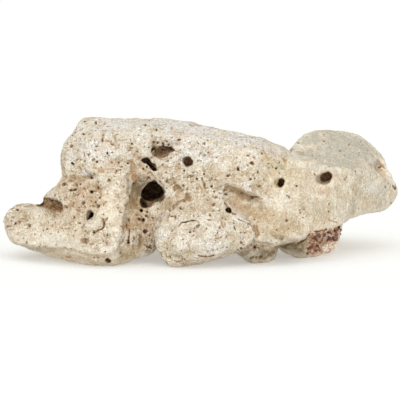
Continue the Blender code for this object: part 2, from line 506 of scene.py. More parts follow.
HOLLOWS = tuple(Hollow(*row) for row in (
    ("nose's top lump", ((12, 204), (18, 200.6), (27, 200), (33, 203), (32, 209), (22, 211), (13, 210)),
     -1.8, 0, 0.9),
    ("nose's tip lump", ((4, 212), (9, 206), (15, 208), (17, 217), (12, 225), (5, 222)), -1.6, 0, 0.9),
    ("dip in the nose", ((16, 213), (24, 212), (30, 215), (26, 221), (18, 222), (14, 218)), 1.6, 0.12,
     0.9),
    ("slab's low lobe", ((62, 160), (70, 162), (78, 166), (80, 172), (72, 175), (63, 173), (60, 167)),
     -1.8, 0, 0.9),
    ("lump over the lip", ((236, 176), (248, 174), (262, 182), (263, 190), (250, 190), (240, 184)), -1.6,
     0, 0.9),
    ("bulge over the hole", ((134, 168), (140, 165.6), (145, 168), (149, 171.6), (153, 175), (149, 178.6),
     (140, 178.6), (134, 174)), -2.4, 0, 0.8),
    ("gap beside the bulge", ((128, 160), (133, 159), (136, 165), (134, 172), (130, 172)), 2.2, 0.15, 0.8),
    ("recess at the nose", ((42, 197), (50, 198), (58, 200), (63, 205), (64, 209), (62, 214.5), (57, 213),
     (52, 212), (47, 209.5), (43, 208.5), (37, 207), (35, 203.5)), 4.5, 0.62, 0.4),
    ("recess at the nose, left end", ((35, 204), (39, 201), (42, 197.5), (44, 200), (44.5, 206), (41, 208),
     (37, 206.6)), 3.5, 0.85, 0.5),
    ("round the cavity", ((147, 144), (154, 138), (164, 137), (176, 138), (180, 143), (177, 150),
     (168, 156), (160, 159), (153, 155)), 2.6, 0.18, 0.8),
    ("brown hollow", ((172.6, 191), (172.8, 187), (175, 184.3), (178, 184.3), (180.4, 186.6),
     (181.4, 189.4), (177, 190), (174.4, 192.6)), 2, 0.5, 0.5),
    ("rosy hollow", ((184.6, 197), (185.4, 192.4), (187.8, 192.2), (189.8, 195), (190.4, 198.6),
     (189, 200.4), (185.6, 200)), 1.5, 0.42, 0.5),
    ("tan hollow", ((211, 204.4), (213, 203), (215.6, 203), (215.6, 206.4), (212.6, 206.6)), 1.6, 0.6,
     0.5),
    ("tan pit", SIGHT.oval((285.2, 160.2), 4, 4), 1.2, 0.38, 0.7),
    ("end notch", ((376, 158), (380, 160), (384, 165), (385.4, 168), (381, 168), (378, 164)), 1.2, 0.3,
     0.9),
    ("end crevice", ((391.6, 184), (393.6, 185), (397, 189), (395.6, 190.4), (392.8, 187.6)), 1.6, 0.6,
     0.6),
    ("rough hollow", ((255, 222), (258, 226), (260, 233), (259, 238), (255, 239), (253.6, 230)), 2, 0.35,
     0.8),
    ("bowl at the ledge hole", ((80, 238), (84, 236), (88, 239), (88.4, 243.6), (84, 244.6), (80, 242.6)),
     1.6, 0.3, 0.8),
    ("foot stain pit", ((64, 257), (67, 255), (71, 255.4), (72.4, 258), (68, 258.6)), 0.9, 0.35, 0.7),
    ("shoulder pit", SIGHT.oval((70.4, 190), 2.6, 2.2), 2.2, 0.78, 0.6),
    ("pit under the slab", ((89.6, 178.4), (92, 176.8), (94.6, 178), (93.4, 179.8), (90.4, 179.8)), 2.4,
     0.8, 0.5),
    ("shoulder groove pit", SIGHT.oval((76.4, 184.5), 2, 2.8), 1.6, 0.65, 0.6),
    ("slanted pit", ((233.4, 225.4), (235, 226.4), (236.6, 229.6), (235.8, 230.8), (234, 228.6)), 1.9,
     0.85, 0.5),
    ("low pit", SIGHT.oval((241.4, 242.6), 2.4, 2.6), 1.6, 0.65, 0.6),
    ("lip pit", SIGHT.oval((225.8, 194.4), 2.6, 2, 20), 1.4, 0.7, 0.6),
    ("hole's brown tail", ((231.6, 211), (234, 213), (237, 214), (235.6, 215.6), (232, 214.4)), 1.6, 0.65,
     0.6),
    ("dark edge over the hole", ((223.6, 201.4), (226, 203.6), (228, 206.4), (226.6, 207.6),
     (224.6, 204.6)), 1.6, 0.8, 0.5),
    ("pit at the bulge's foot", SIGHT.oval((130.2, 197), 2.6, 3.4), 1.6, 0.6, 0.7),
    ("pale lump", ((86, 223), (90, 220.4), (94, 218), (98, 214), (101.6, 218.4), (103.2, 223),
     (101.6, 227), (98, 228.8), (92, 230.6), (86, 232), (82, 231), (84, 227)), -1.5, 0, 0.5),
))

# Each kind of pore: its width in millimetres, how dark its dirt and painted shade are, and its pixels.
PORES: dict[str, tuple[float, float, Outline]] = {
    "wide": (1.9, 0.95, ( (85, 122.3), (96, 122.6), (97, 162), (107, 153), (190, 232), (153, 218.3),
        (149.5, 235.5), (129.2, 243), (204, 174), (197, 179), (183.2, 185.7), (145.4, 125),
        (156.5, 130.2), (131.7, 143.7), (118.6, 162.8), (254.2, 219.2), (250.3, 179.6), (17.5, 210),
        (12.5, 208), (128, 163.3), (146.8, 211.5), (134, 184), (154.2, 142.3), (169.2, 145.6),
        (178.8, 139.6), (163, 150.4), (83.3, 134), (73, 163.8), (15.8, 223.2), (80.6, 184), (99.6, 197.8),
        (95.5, 202.2), (74, 217.4), (261.8, 153.6), (296.6, 186), (276.4, 168.4), (241.5, 248.8),
        (184.3, 201.4), (180.8, 208), (143.6, 168.8), (147, 167))),
    "narrow": (1.35, 0.8, ( (98, 127.5), (95.6, 130.4), (119, 145), (119, 139.6), (138.8, 135.2),
        (117, 134.2), (75.4, 132.6), (90, 140.6), (122, 166.6), (104, 123.4), (172, 137.6),
        (179.2, 163.8), (176.3, 155.2), (171.4, 158), (180, 139.3), (73, 163.2), (223, 217.5),
        (226.3, 218.6), (225, 194), (167, 248.5), (257.8, 221.2), (304.2, 209.5), (303, 217.6),
        (299.2, 210), (329, 204), (329, 211.6), (310.5, 161), (324, 141.3), (324, 135), (288, 184),
        (274, 160), (279.8, 173), (386, 187), (391, 203), (8, 226.6), (19.6, 221.4), (91, 177),
        (139.4, 235.2), (141.5, 237), (147, 246.5), (150.4, 245.2), (91, 201.5), (93, 205.6), (90.4, 206),
        (84, 196.5), (79.5, 207.6), (83, 212.6), (253, 175.5), (288.5, 228.5), (245, 232.6), (193, 172.5),
        (192.5, 176), (216.5, 157.5), (207.8, 140.4), (35, 234.5), (43, 229.5), (56, 245), (94.5, 257.3),
        (256, 197), (273.5, 215.6), (198.4, 143.4), (187.6, 176.6), (200.4, 153.4), (204.8, 155),
        (215.6, 197.4), (214.4, 192), (213, 196.6), (194.6, 228.2), (193.6, 231), (238, 250),
        (213.4, 211), (198.2, 216.2), (193.8, 216), (181.8, 250), (184.6, 259.4), (166.6, 256.8),
        (150.4, 247.6), (133.6, 229.4), (151.6, 240.2), (137, 214.6), (158, 209), (135.4, 176.6),
        (64.4, 168), (78.8, 150.6), (95.8, 150.4), (112.4, 152.6), (84.4, 161.2), (116.4, 171.2),
        (120.4, 169.8), (134, 155), (149, 147), (27, 228), (62, 228.4), (58, 232),
        (52.6, 226), (70.6, 224.4), (87.6, 187.6))),
}

STROKES = tuple(Stroke(*row) for row in (
    ("fold", ((95, 164), (110, 162.5), (128, 161), (140, 160)), 7, -1.6),
    ("under the nose", ((6, 230), (13, 227.4), (20, 222.4), (27, 218)), 5, -1.4),
    ("nose's low edge", ((8, 224), (14, 221), (20, 216.6)), 5, 0.7),
    ("under the slab", ((59, 177.4), (66, 179), (76, 179.4), (86, 178), (94, 175.4)), 6, -1.8),
    ("slab's low edge", ((61, 171), (70, 173.4), (80, 174), (90, 172.4)), 6, 0.9),
    ("over the knob", ((188, 200), (180, 202.4), (172, 208.6), (166, 216), (159, 224), (153, 233)), 5,
     -1.3),
    ("knob's left edge", ((189, 204), (182, 206), (175, 212), (169, 219.6), (162, 227.6), (156, 237)), 6,
     0.9),
    ("knob's right edge", ((233, 216), (243, 220.6), (250, 226), (252.4, 236), (247, 245), (238, 251)), 6,
     1),
    ("right of the knob", ((236, 212), (246, 216), (255, 223), (258.4, 236), (253, 245)), 5, -1),
    ("knob's toe edge", ((170, 262), (182, 258.6), (197, 257.4), (214, 257.6), (230, 255)), 5, 0.7),
    ("lip edge", ((226, 182), (235, 184.5), (243, 188), (249, 192), (257, 194)), 6, 1.3),
    ("under the lip", ((229, 188), (236, 191.5), (243, 194.5), (250, 198)), 6, -1.6),
    ("right ridge", ((303, 158), (318, 162.5), (333, 165.5), (353, 168)), 6, 0.8),
    ("ledge edge", ((13, 242), (30, 244.5), (46, 245.5), (60, 246), (75, 247.5), (85, 250.5), (95, 252.5),
     (106, 253.5), (113, 251), (118, 244), (122, 236)), 5, 1),
    ("under the ledge", ((22, 247.6), (46, 249), (60, 249.6), (75, 251.2), (85, 254), (95, 256),
     (107, 257.4), (117, 253), (122, 246)), 5, -1.2),
    ("pillar's right edge", ((130, 172), (130, 184), (128.4, 194), (124, 205), (121, 216), (121, 234)), 6,
     1.2),
    ("alcove's right edge", ((158, 171), (163, 183), (167.5, 195), (165, 207), (159, 217), (154, 230)), 5,
     0.9),
    ("knob's left foot", ((152, 242), (158, 249), (163, 257), (169, 264)), 5, 0.6),
    ("slanted streak, upper", ((84, 134.4), (87.4, 132.2)), 1.4, -0.8, 0.55),
    ("slanted streak, lower", ((82, 141.6), (86, 138), (89.6, 134)), 1.3, -0.7, 0.5),
    ("slab slit, right", ((103.4, 135.2), (103.6, 138.6), (102.2, 141.4)), 1.6, -1.3, 0.75),
    ("orange streak", ((106, 140.8), (110.2, 142)), 2, -0.6, 0.42),
    ("orange streak, right", ((111.4, 144.2), (114.6, 145)), 2, -0.9, 0.6),
    ("slit over the cavity", ((163.8, 138.6), (166.8, 141.4)), 1.5, -1.3, 0.85),
    ("slit at the top", ((171, 126.5), (173.5, 129.5)), 1.3, -1.4, 0.9),
    ("grey slit", ((162.6, 164.6), (165, 162.2), (168, 160.8)), 1.9, -1.4, 0.6),
    ("edge slit", ((75, 161.2), (78, 159.2)), 1.5, -1.3, 0.8),
    ("edge slit, lower", ((71, 163), (74.4, 164.2)), 1.3, -1.1, 0.75),
    ("left edge pit", ((61.6, 161), (62.4, 165)), 1.8, -1, 0.5),
    ("fold line", ((93, 168), (102, 169.4), (110, 169), (121, 170)), 1.6, -0.6, 0.35),
    ("fold's dark end", ((98, 171), (103, 171.4)), 3.2, -0.8, 0.45),
    ("fold's dot", ((115.6, 173.4), (117, 171)), 1.5, -0.9, 0.6),
    ("slanted dent", ((79.4, 167), (80.8, 169.6)), 1.5, -0.9, 0.55),
    ("slab's left spot", ((71.4, 171), (73, 171.6)), 2, -0.7, 0.5),
    ("crack chain", ((202, 178), (203.6, 182.4), (206.4, 186), (207.4, 188)), 1.5, -1.2, 0.75),
    ("crack beside it", ((199, 184), (201.6, 189)), 1.8, -0.8, 0.45),
    ("crack's low end", ((204.2, 185.4), (205.6, 189)), 1.5, -1.1, 0.7),
    ("brown line", ((187.4, 182), (193, 181.4), (198.4, 183)), 1.1, -0.6, 0.45),
    ("groove up the chain", ((196.4, 176.6), (196.2, 181)), 1.4, -1, 0.65),
    ("knob groove", ((189.6, 200.4), (183.4, 200), (178, 202.4), (172.4, 207.4)), 1.6, -1, 0.45),
    ("knob groove, left", ((171, 203), (169.4, 208)), 2, -0.8, 0.4),
    ("knob groove, dark end", ((169.8, 210), (169.4, 214.6), (167.6, 217.6)), 1.6, -1.4, 0.75),
    ("knob crack", ((181.6, 222.4), (186, 221.8), (190.6, 220.6), (195, 220.4), (199, 222.2)), 1.3, -1.6,
     1),
    ("knob crack, left end", ((179, 226.2), (180.6, 223.6)), 1.3, -1.2, 0.75),
    ("knob slit", ((171.6, 231), (174.8, 227)), 1.9, -1.1, 0.6),
    ("knob crack's tail", ((208, 219.6), (211.4, 220)), 1.3, -0.9, 0.6),
    ("long faint line", ((203, 216.4), (208, 215)), 1.2, -0.6, 0.4),
    ("bottom crack", ((198.6, 255.6), (205, 256.8), (211, 256.6)), 1.3, -1, 0.7),
    ("bottom crack, right", ((211, 256.4), (213.6, 255.6)), 1.8, -1, 0.8),
    ("bottom crack's tail", ((219, 257.4), (221.6, 257.2)), 1.2, -0.7, 0.6),
    ("thin line", ((215.6, 238.6), (218.6, 238.4), (221.6, 236.8)), 1.3, -0.9, 0.6),
    ("thin line, right", ((226, 237.6), (227, 235.6)), 1.4, -0.8, 0.6),
    ("knob's right crack", ((238, 218.6), (244, 221.8), (250.4, 224)), 1.3, -1.3, 0.75),
    ("knob streak", ((221.6, 221.6), (222.6, 226)), 1.5, -0.9, 0.5),
    ("knob streak, right", ((224.8, 222), (225.4, 227)), 1.4, -0.8, 0.45),
    ("knob streak, low", ((222.8, 226.4), (227, 232), (228.6, 234.6)), 1.2, -0.7, 0.4),
    ("knob's low streak", ((189, 239.6), (188.4, 244), (190.4, 252)), 1.6, -0.6, 0.4),
    ("lip slit", ((250, 195.4), (255.4, 197.4)), 1.3, -1.2, 0.7),
    ("upper right streak", ((248, 177), (250, 179.6)), 1.5, -0.9, 0.65),
    ("upper right streak, left", ((240.6, 175.6), (243, 174.6)), 1.3, -0.7, 0.5),
    ("orange groove", ((262.5, 144.5), (264, 150), (267, 158.5)), 1.8, -1, 0.2),
    ("alcove crack, upper", ((129, 219), (129.6, 225)), 1.2, -1.2, 0.8),
    ("alcove crack, lower", ((129.8, 229), (129.2, 238)), 1.5, -1.6, 0.95),
    ("alcove pit's tail", ((128.6, 240), (128.4, 245)), 1.9, -1.4, 0.85),
    ("alcove's low crack", ((145, 244.4), (148, 247.5), (151, 246)), 1.2, -1, 0.7),
    ("bulge streak", ((131, 171), (133, 175), (134, 180)), 2, -0.8, 0.4),
    ("bulge fold", ((147.4, 173.4), (151, 172), (152.4, 175)), 1.4, -0.8, 0.5),
    ("flank crack", ((120, 252.5), (123, 249.5)), 1, -0.8, 0.6),
    ("flank crack, lower", ((121.5, 257), (124, 254.5)), 1.1, -0.9, 0.7),
    ("groove round the pale lump", ((102.6, 218.6), (104.4, 222.6), (104, 226.4), (102, 229)), 1.8, -1.5,
     0.8),
    ("groove under the lump", ((100.4, 229.4), (96, 231.6), (93.4, 234.6)), 1.9, -1.2, 0.6),
    ("groove left of the lump", ((87, 233.6), (90, 231.8), (95, 231.6)), 1.4, -0.9, 0.5),
    ("groove over the lump", ((80.4, 229), (83.6, 226), (85, 223)), 1.8, -1, 0.5),
    ("shoulder arc", ((67, 181.6), (70.6, 180.6), (73.6, 181.6)), 1.5, -1, 0.6),
    ("shoulder arc, right", ((75, 183), (76.6, 186.4)), 1.6, -1, 0.6),
    ("pillar's left rim", ((97, 183), (99.6, 190), (100.6, 197)), 3.4, -0.7, 0.3),
    ("shoulder streaks", ((78.6, 210.6), (82.8, 213.4)), 1.5, -1, 0.6),
    ("nose streak", ((11, 230), (17, 224), (24.6, 218.4)), 2.6, -0.5, 0.18),
    ("toe crack", ((177, 262), (181.6, 261)), 1.4, -0.8, 0.55),
    ("end cracks", ((357, 162.5), (360, 163.8)), 1, -0.7, 0.5),
    ("end streak", ((371.4, 153.4), (374.4, 157.4)), 1.6, -0.9, 0.5),
    ("end notch's dark edge", ((376.6, 165), (379.4, 167.8), (381, 167)), 1.6, -1.1, 0.65),
    ("end notch's dot", ((383.4, 167.4), (385, 168.8)), 1.5, -1, 0.65),
    ("low crack, right", ((330, 220.5), (334, 221.6), (338, 222.8)), 1.2, -0.9, 0.65),
    ("valley", ((291, 149.5), (297, 152.5), (303, 154.5)), 3, -1.2, 0.1),
    ("overhang line", ((298.6, 243.6), (303, 241), (307.6, 237), (311.6, 233.4), (318, 231.8),
     (326.6, 230)), 2.4, -1.8, 0.8),
))

SOFT = (
    ((228, 204), (238, 197), (250, 198), (262, 197), (275, 205), (280, 218), (270, 228), (254, 226),
        (244, 218), (234, 214)),
    ((372, 150), (386, 158), (392, 172), (386, 182), (376, 174), (368, 160)),
    ((338, 172), (356, 168), (370, 176), (372, 194), (362, 210), (344, 214), (334, 196)),
)

POROUS = tuple(Patch(*row) for row in (
    ("slab", (118, 138), 82, 34, 0.62),
    ("slab's right", (200, 140), 70, 26, 0.5),
    ("over the knob", (195, 185), 62, 50, 0.72),
    ("knob", (200, 238), 74, 40, 0.5),
    ("shoulder", (80, 197), 34, 30, 0.75),
    ("shelf", (52, 222), 74, 22, 0.55),
    ("recess at the nose", (50, 205), 24, 16, 1),
    ("nose", (16, 214), 26, 20, 0.8),
    ("smooth ledge", (52, 238), 84, 12, 0.2),
    ("smooth facet", (76, 256), 84, 11, 0.1),
    ("pillar", (112, 210), 15, 46, 0.15),
    ("alcove's slope", (142, 226), 26, 36, 1),
    ("bulge", (143, 167), 20, 18, 0.8),
    ("over the lip", (235, 158), 44, 30, 0.35),
    ("upper cavity", (165, 148), 22, 16, 1),
    ("alcove's left wall", (134.5, 193), 12, 34, 0.25),
    ("recess", (240, 200), 24, 22, 0.4),
    ("flank", (130, 250), 20, 10, 0.3),
))

# The stains, and the patches of painted shade marked below.
STAINS = tuple(Patch(*row) for row in (
    ("orange groove", (265, 153), 4.5, 13, Tint.OCHRE, 0.8, 14),
    ("round the orange groove", (266, 156), 9, 15, Tint.STRAW, 0.6, 14),
    ("tan pit", (285.2, 160), 4.6, 5, Tint.OCHRE, 0.7),
    ("straw round the pit", (284, 156), 11, 13, Tint.STRAW, 0.45),
    ("straw side", (281, 176), 24, 40, Tint.STRAW, 0.45),
    ("below the ragged hole", (323, 190), 11, 9, Tint.ROSE, 0.7, -20),
    ("right of the ragged hole", (333.6, 175.6), 4.6, 8, Tint.OCHRE, 0.6, -30),
    ("inside the ragged hole", (322.5, 176), 5, 5.5, Tint.WARM, 0.9),
    # Painted shade on the alcove's left wall, which faces away from the light, and in its depth.
    ("alcove's left wall", (134.5, 193), 13, 34, Tint.OLIVE, 1.2),
    ("alcove's dark depth", (137.6, 193), 12, 32, Tint.OLIVE, 1.3),
    ("alcove's floor edge", (127, 205), 6, 18, Tint.WARM, 0.6),
    ("warm alcove floor", (141, 224), 26, 40, Tint.WARM, 0.9),
    ("pillar's foot", (122.5, 225), 5, 22, Tint.ROSE, 0.6),
    ("warm bulge", (142, 169), 20, 15, Tint.WARM, 0.95),
    ("bulge's foot", (148, 176), 9, 6, Tint.PINK, 0.6),
    ("brown beside the bulge", (133, 174), 6, 12, Tint.WARM, 0.7),
    # Painted shade on the ledge inside the big hole.
    ("hole's ledge", (152, 203.5), 11, 4, Tint.OLIVE, 0.7),
    ("hole's right rim", (162, 201), 5, 6, Tint.WARM, 0.7),
    ("recess at the nose", (52, 206), 18, 12, Tint.WARM, 0.75, -12),
    ("recess's rosy end", (60, 211), 6, 5, Tint.ROSE, 0.7),
    ("nose's brown edge", (45, 201), 5, 8, Tint.WARM, 0.7),
    ("tan shoulder", (84, 198), 32, 28, Tint.ROSE, 0.75),
    ("shoulder's top", (82, 184), 30, 9, Tint.WARM, 0.6),
    ("shoulder's left", (60, 188), 14, 10, Tint.WARM, 0.3),
    ("nose", (14, 220), 14, 10, Tint.ROSE, 0.4, 30),
    ("shelf", (56, 226), 16, 7, Tint.ROSE, 0.5),
    ("orange foot", (80, 239), 5, 7, Tint.OCHRE, 0.5),
    ("orange lump edge", (94.2, 233.4), 3.6, 3, Tint.OCHRE, 0.85),
    ("rim of the lump", (102, 229.5), 4, 4, Tint.OCHRE, 0.5),
    ("orange streak", (109.5, 142.6), 8, 3, Tint.OCHRE, 0.75, -22),
    ("orange specks", (127, 139), 7, 5, Tint.STRAW, 0.4),
    ("slab's left edge", (76, 156), 6, 7, Tint.PINK, 0.7),
    ("upper cavity", (168, 145), 22, 10, Tint.ROSE, 0.6, 8),
    ("inside the upper cavity", (160, 155), 12, 6, Tint.WARM, 0.9, 20),
    ("cavity's left", (152, 144), 8, 8, Tint.STRAW, 0.35),
    ("brown hollow", (176.5, 187), 6.5, 5, Tint.OCHRE, 0.5),
    ("rosy hollow", (187, 196), 6, 7, Tint.ROSE, 0.6),
    ("groove's rosy edge", (172, 205), 6, 10, Tint.ROSE, 0.5, 40),
    ("tan hollow", (213, 205), 4.6, 4.4, Tint.WARM, 0.8),
    # Painted shade in the recess under the lip and at its left end.
    ("under the lip", (236, 192), 20, 11, Tint.WARM, 0.55, -25),
    ("beside the hole", (238, 202), 22, 18, Tint.WARM, 0.5, -30),
    ("under the lip's edge", (243, 195), 26, 6, Tint.OLIVE, 0.25, -26),
    ("beside the knob", (250, 212), 16, 13, Tint.TAN, 0.55, -35),
    ("olive over the lip", (226, 183), 14, 6, Tint.TAN, 0.6),
    ("grey patch by the lip", (222, 187), 5, 6, Tint.GREY, 0.6),
    ("rosy flank", (259, 228), 7, 16, Tint.ROSE, 0.5),
    # Painted shade on the middle foot, which faces down under an overhang.
    ("middle foot", (252, 257), 36, 22, Tint.OLIVE, 0.5),
    ("middle foot's left", (244, 258), 14, 10, Tint.OLIVE, 1),
    ("middle foot's rosy top", (272, 248.5), 10, 4.5, Tint.ROSE, 0.6),
    # Painted shade in the fold under the slab.
    ("fold", (120, 163), 26, 8, Tint.TAN, 0.5),
    ("fold's olive top", (138, 156), 16, 6, Tint.TAN, 0.55),
    ("fold's lower line", (105, 170), 20, 4, Tint.WARM, 0.35),
    ("under the slab", (72, 175), 12, 6, Tint.STRAW, 0.4),
    ("left facet", (70, 256), 84, 14, Tint.PINK, 0.3, -8),
    ("rosy spot on the facet", (69, 257), 8, 3.4, Tint.ROSE, 0.6),
    # Painted shade at the left foot's tip by the table, and on the flank under the arch.
    ("foot tip", (102, 264), 22, 4, Tint.OLIVE, 0.5),
    ("flank", (131, 251), 28, 14, Tint.TAN, 0.9, 22),
    ("end notch", (380, 164), 9, 6, Tint.WARM, 0.55, -35),
    ("end's rosy top", (372, 152), 9, 6, Tint.PINK, 0.6, -35),
    ("grey end", (372, 178), 46, 70, Tint.GREY, 0.45),
    # Greyer tone, and painted shade on the far lobe and in the valley before it.
    ("grey lobe", (335, 142), 92, 50, Tint.GREY, 0.8),
    ("grey valley", (318, 157), 44, 7, Tint.GREY, 0.7, -12),
    ("grey low right", (322, 208), 44, 24, Tint.GREY, 0.35),
    ("chalky slab", (118, 138), 110, 46, Tint.CHALK, 0.42),
    ("chalky slab, right", (205, 150), 70, 34, Tint.CHALK, 0.5, -12),
    ("chalky front knob", (203, 233), 76, 44, Tint.CHALK, 0.42),
    ("slab's chalk", (95, 152), 26, 18, Tint.CHALK, 0.6),
    ("slab's left chalk", (70, 160), 7, 12, Tint.CHALK, 0.7),
    ("slab's low chalk", (86, 173), 7, 5, Tint.CHALK, 0.8),
    ("chalk by the cavity", (172, 161), 18, 8, Tint.CHALK, 0.8, 15),
    ("chalk above the knob", (205, 148), 40, 22, Tint.CHALK, 0.4),
    ("chalky top", (190, 127), 80, 14, Tint.CHALK, 0.8, -10),
    ("chalky top, left", (115, 124), 70, 14, Tint.CHALK, 0.6, 0),
    ("chalky top, right", (250, 141), 60, 14, Tint.CHALK, 0.7, -16),
    ("chalky ledge", (50, 239), 62, 8, Tint.CHALK, 0.3, -4),
    ("grey ledge", (52, 240), 84, 12, Tint.GREY, 0.35, -4),
    ("tan pillar", (112, 205), 14, 44, Tint.TAN, 0.25),
    ("chalky ledge's right", (100, 247), 24, 6, Tint.CHALK, 0.45, -8),
    ("chalky flank edge", (119, 241), 4, 8, Tint.CHALK, 0.8, -30),
    ("chalky lip", (248, 186), 15, 8, Tint.CHALK, 0.65, -35),
    ("chalky knob", (212, 246), 44, 14, Tint.CHALK, 0.4),
    ("grey shoulder's outline", (60, 186), 14, 6, Tint.TAN, 0.6, 40),
    ("chalky knob corner", (240, 219), 14, 8, Tint.CHALK, 0.6, -35),
    ("chalky knob's left", (163, 236), 8, 10, Tint.CHALK, 0.6),
    ("chalky end", (375, 190), 18, 8, Tint.CHALK, 0.4),
    ("olive lower side", (284, 224), 50, 30, Tint.TAN, 0.6),
    # Painted shade on the rear foot under the overhang; the dark line along its bottom is a painted
    # contact shadow.
    ("back foot", (294, 251), 40, 24, Tint.OLIVE, 1),
    ("back foot's dark left", (289, 250), 26, 14, Tint.OLIVE, 1.1, 15),
    ("back foot's dark line", (297, 254.5), 26, 3.6, Tint.OLIVE, 0.95, -6),
    ("veins between the crystals", (322, 241), 32, 22, Tint.PINK, 0.9, 30),
))


class Relief:
    """A mesh's points as arrays, for moves finer than a modifier makes.

    Attributes:
        points: A row of x, y, z for each point.
        outward: The surface's direction at each point.
        pixels: Where each point shows in the photograph.
        facing: How far each point faces the eye, from -1 to 1.
        soil: How much dirt and painted shade lies at each point.
    """

    # A point is shaped or painted through a pixel if it faces the eye at least this far.
    SHAPED_FACING = -0.1
    PAINTED_FACING = -0.3

    # How far past its outline a hollow or a patch is looked for.
    REACH_SHARE = 1.3
    RIM_SPARE = 2 * MM
    PATCH_SPARE = 12 * MM

    # How a hollow's rim wanders: by lumps and crumbs of noise, up to a pixel to and fro.
    RIM_LUMP, RIM_LUMP_SIZE = 0.5, 1.8 * MM
    RIM_CRUMB, RIM_CRUMB_SIZE = 0.3, 0.9 * MM
    RIM_SHARE, RIM_LIMIT = 0.25, 1.0
    RIM_START = -0.25
    STEEPEST_WALL = 0.5
    NARROWEST = 0.8

    # How a stroke's width varies, and the noise that breaks a fine one up.
    STROKE_UNEVEN, STROKE_LUMP, STROKE_HALF = 0.45, 1.6, 0.55
    STROKE_BREAKS, BREAK_SIZE = (-0.8, -0.1), 2.6 * MM

    # A small pore's depth, as a share of its width, and its edge.
    PORE_DEPTH, PORE_EDGE, PORE_RAGGED = 0.8, 0.3, 0.4

    # How a patch's edge wanders and fades.
    PATCH_LUMP_SIZE, PATCH_CRUMB_SIZE = 7 * MM, 3 * MM
    PATCH_CRUMB, PATCH_RAGGED = 0.6, 0.45
    PATCH_FADE = (0.35, 1.35)

    # Dirt and painted shade start at the first share of a hollow's or a groove's depth,
    # and are full at the second.
    HOLLOW_DIRT = (0.05, 0.7)
    GROOVE_DIRT = (0.08, 0.75)

    def __init__(self, piece: bpy.types.Object) -> None:
        """Reads the piece's points.

        Args:
            piece: The object whose mesh is shaped.
        """
        self.piece = piece
        vertices = piece.data.vertices
        self.points = np.empty((len(vertices), 3), np.float32)
        self.outward = np.empty((len(vertices), 3), np.float32)
        vertices.foreach_get("co", self.points.ravel())
        piece.data.vertex_normals.foreach_get("vector", self.outward.ravel())
        self.pixels = SIGHT.seen(self.points)
        self.facing = self.outward @ -np.array(SIGHT.forward)
        self.soil = np.zeros(len(vertices), np.float32)
        self.along = np.argsort(self.points[:, 0])
        self.along_x = self.points[self.along, 0]

    def near(self, middle: Sequence[float], reach: float) -> np.ndarray:
        """The points within a reach of a place.

        Args:
            middle: The place.
            reach: How far from it.

        Returns:
            The points' indices.
        """
        first, last = np.searchsorted(self.along_x, (middle[0] - reach, middle[0] + reach))
        slab = self.along[first:last]
        offset = self.points[slab] - np.array(middle, np.float32)
        return slab[(offset * offset).sum(1) < reach * reach]

    def behind(self, outline: Outline, spare: float) -> tuple[np.ndarray, Vector]:
        """The points near an outline's middle, and the direction into the surface there.

        Args:
            outline: An outline in the photograph.
            spare: How far past the outline to look.

        Returns:
            The indices of the points that face the eye, and the direction.
        """
        corners = np.array(outline)
        middle = corners.mean(0)
        found = SIGHT.glance(self.piece, tuple(middle))
        if found is None:
            log.info("outline at %s misses the stone", outline[0])
            return np.empty(0, np.int64), SIGHT.forward
        point, outward = found
        reach = float(np.hypot(*(corners - middle).T).max()) * SIGHT.pixel + spare
        here = self.near(point, self.REACH_SHARE * reach)
        inward = (SIGHT.through(tuple(middle)).normalized() - outward * 0.5).normalized()
        return here[self.facing[here] > self.SHAPED_FACING], inward

    def press(self, hollow: Hollow) -> None:
        """Presses in a hollow whose rim is outlined in the photograph, or raises a lump.

        Args:
            hollow: The hollow or lump.
        """
        here, inward = self.behind(hollow.mouth, self.RIM_SPARE)
        if not len(here):
            return
        ragged = self.RIM_LUMP * RAGGED.at(self.points[here], self.RIM_LUMP_SIZE)
        ragged += self.RIM_CRUMB * RAGGED.at(self.points[here], self.RIM_CRUMB_SIZE)
        gap = depth_inside(hollow.mouth, self.pixels[here])
        widest = max(float(gap.max()), self.NARROWEST)
        wander = np.minimum(self.RIM_SHARE * widest, self.RIM_LIMIT)
        wall = max(self.STEEPEST_WALL, hollow.wall * widest)
        fall = eased(self.RIM_START, wall, gap + wander * ragged)
        self.points[here] += (hollow.depth * MM * fall)[:, None] * np.array(inward, np.float32)
        # Dirt and painted shade, darkest where the hollow is deepest.
        self.soil[here] = np.maximum(self.soil[here], hollow.soil * eased(*self.HOLLOW_DIRT, fall))

    def draw(self, stroke: Stroke) -> None:
        """Draws a groove or a ledge along a line of the photograph.

        Args:
            stroke: The groove or ledge.
        """
        line, turns = [], []
        for start, end in zip(stroke.seen_along, stroke.seen_along[1:]):
            steps = max(2, round(math.dist(start, end)))
            for step in range(steps + 1):
                part = step / steps
                pixel = (start[0] + (end[0] - start[0]) * part, start[1] + (end[1] - start[1]) * part)
                found = SIGHT.glance(self.piece, pixel)
                if found:
                    line.append(tuple(found[0]))
                    turns.append(SIGHT.through(pixel) - found[1])
        if not line:
            log.info("stroke %s misses the stone", stroke.name)
            return
        inward = np.array(sum(turns, Vector()).normalized(), np.float32)
        places = np.array(line, np.float32)
        middle = places.mean(0)
        width = stroke.width * MM
        here = self.near(middle, float(np.linalg.norm(places - middle, axis=1).max()) + width)
        gaps = np.full(len(here), np.inf)
        for place in places:
            offset = self.points[here] - place
            gaps = np.minimum(gaps, (offset * offset).sum(1))
        uneven = 1.0 + self.STROKE_UNEVEN * RAGGED.at(self.points[here], self.STROKE_LUMP * width)
        fall = np.clip(1.0 - gaps / (self.STROKE_HALF * width * uneven) ** 2, 0.0, 1.0)
        if not stroke.is_wide:
            fall *= eased(*self.STROKE_BREAKS, RAGGED.at(self.points[here], self.BREAK_SIZE))
        self.points[here] -= (stroke.lift * MM * fall)[:, None] * inward
        self.soil[here] = np.maximum(self.soil[here], stroke.soil * eased(*self.GROOVE_DIRT, fall))

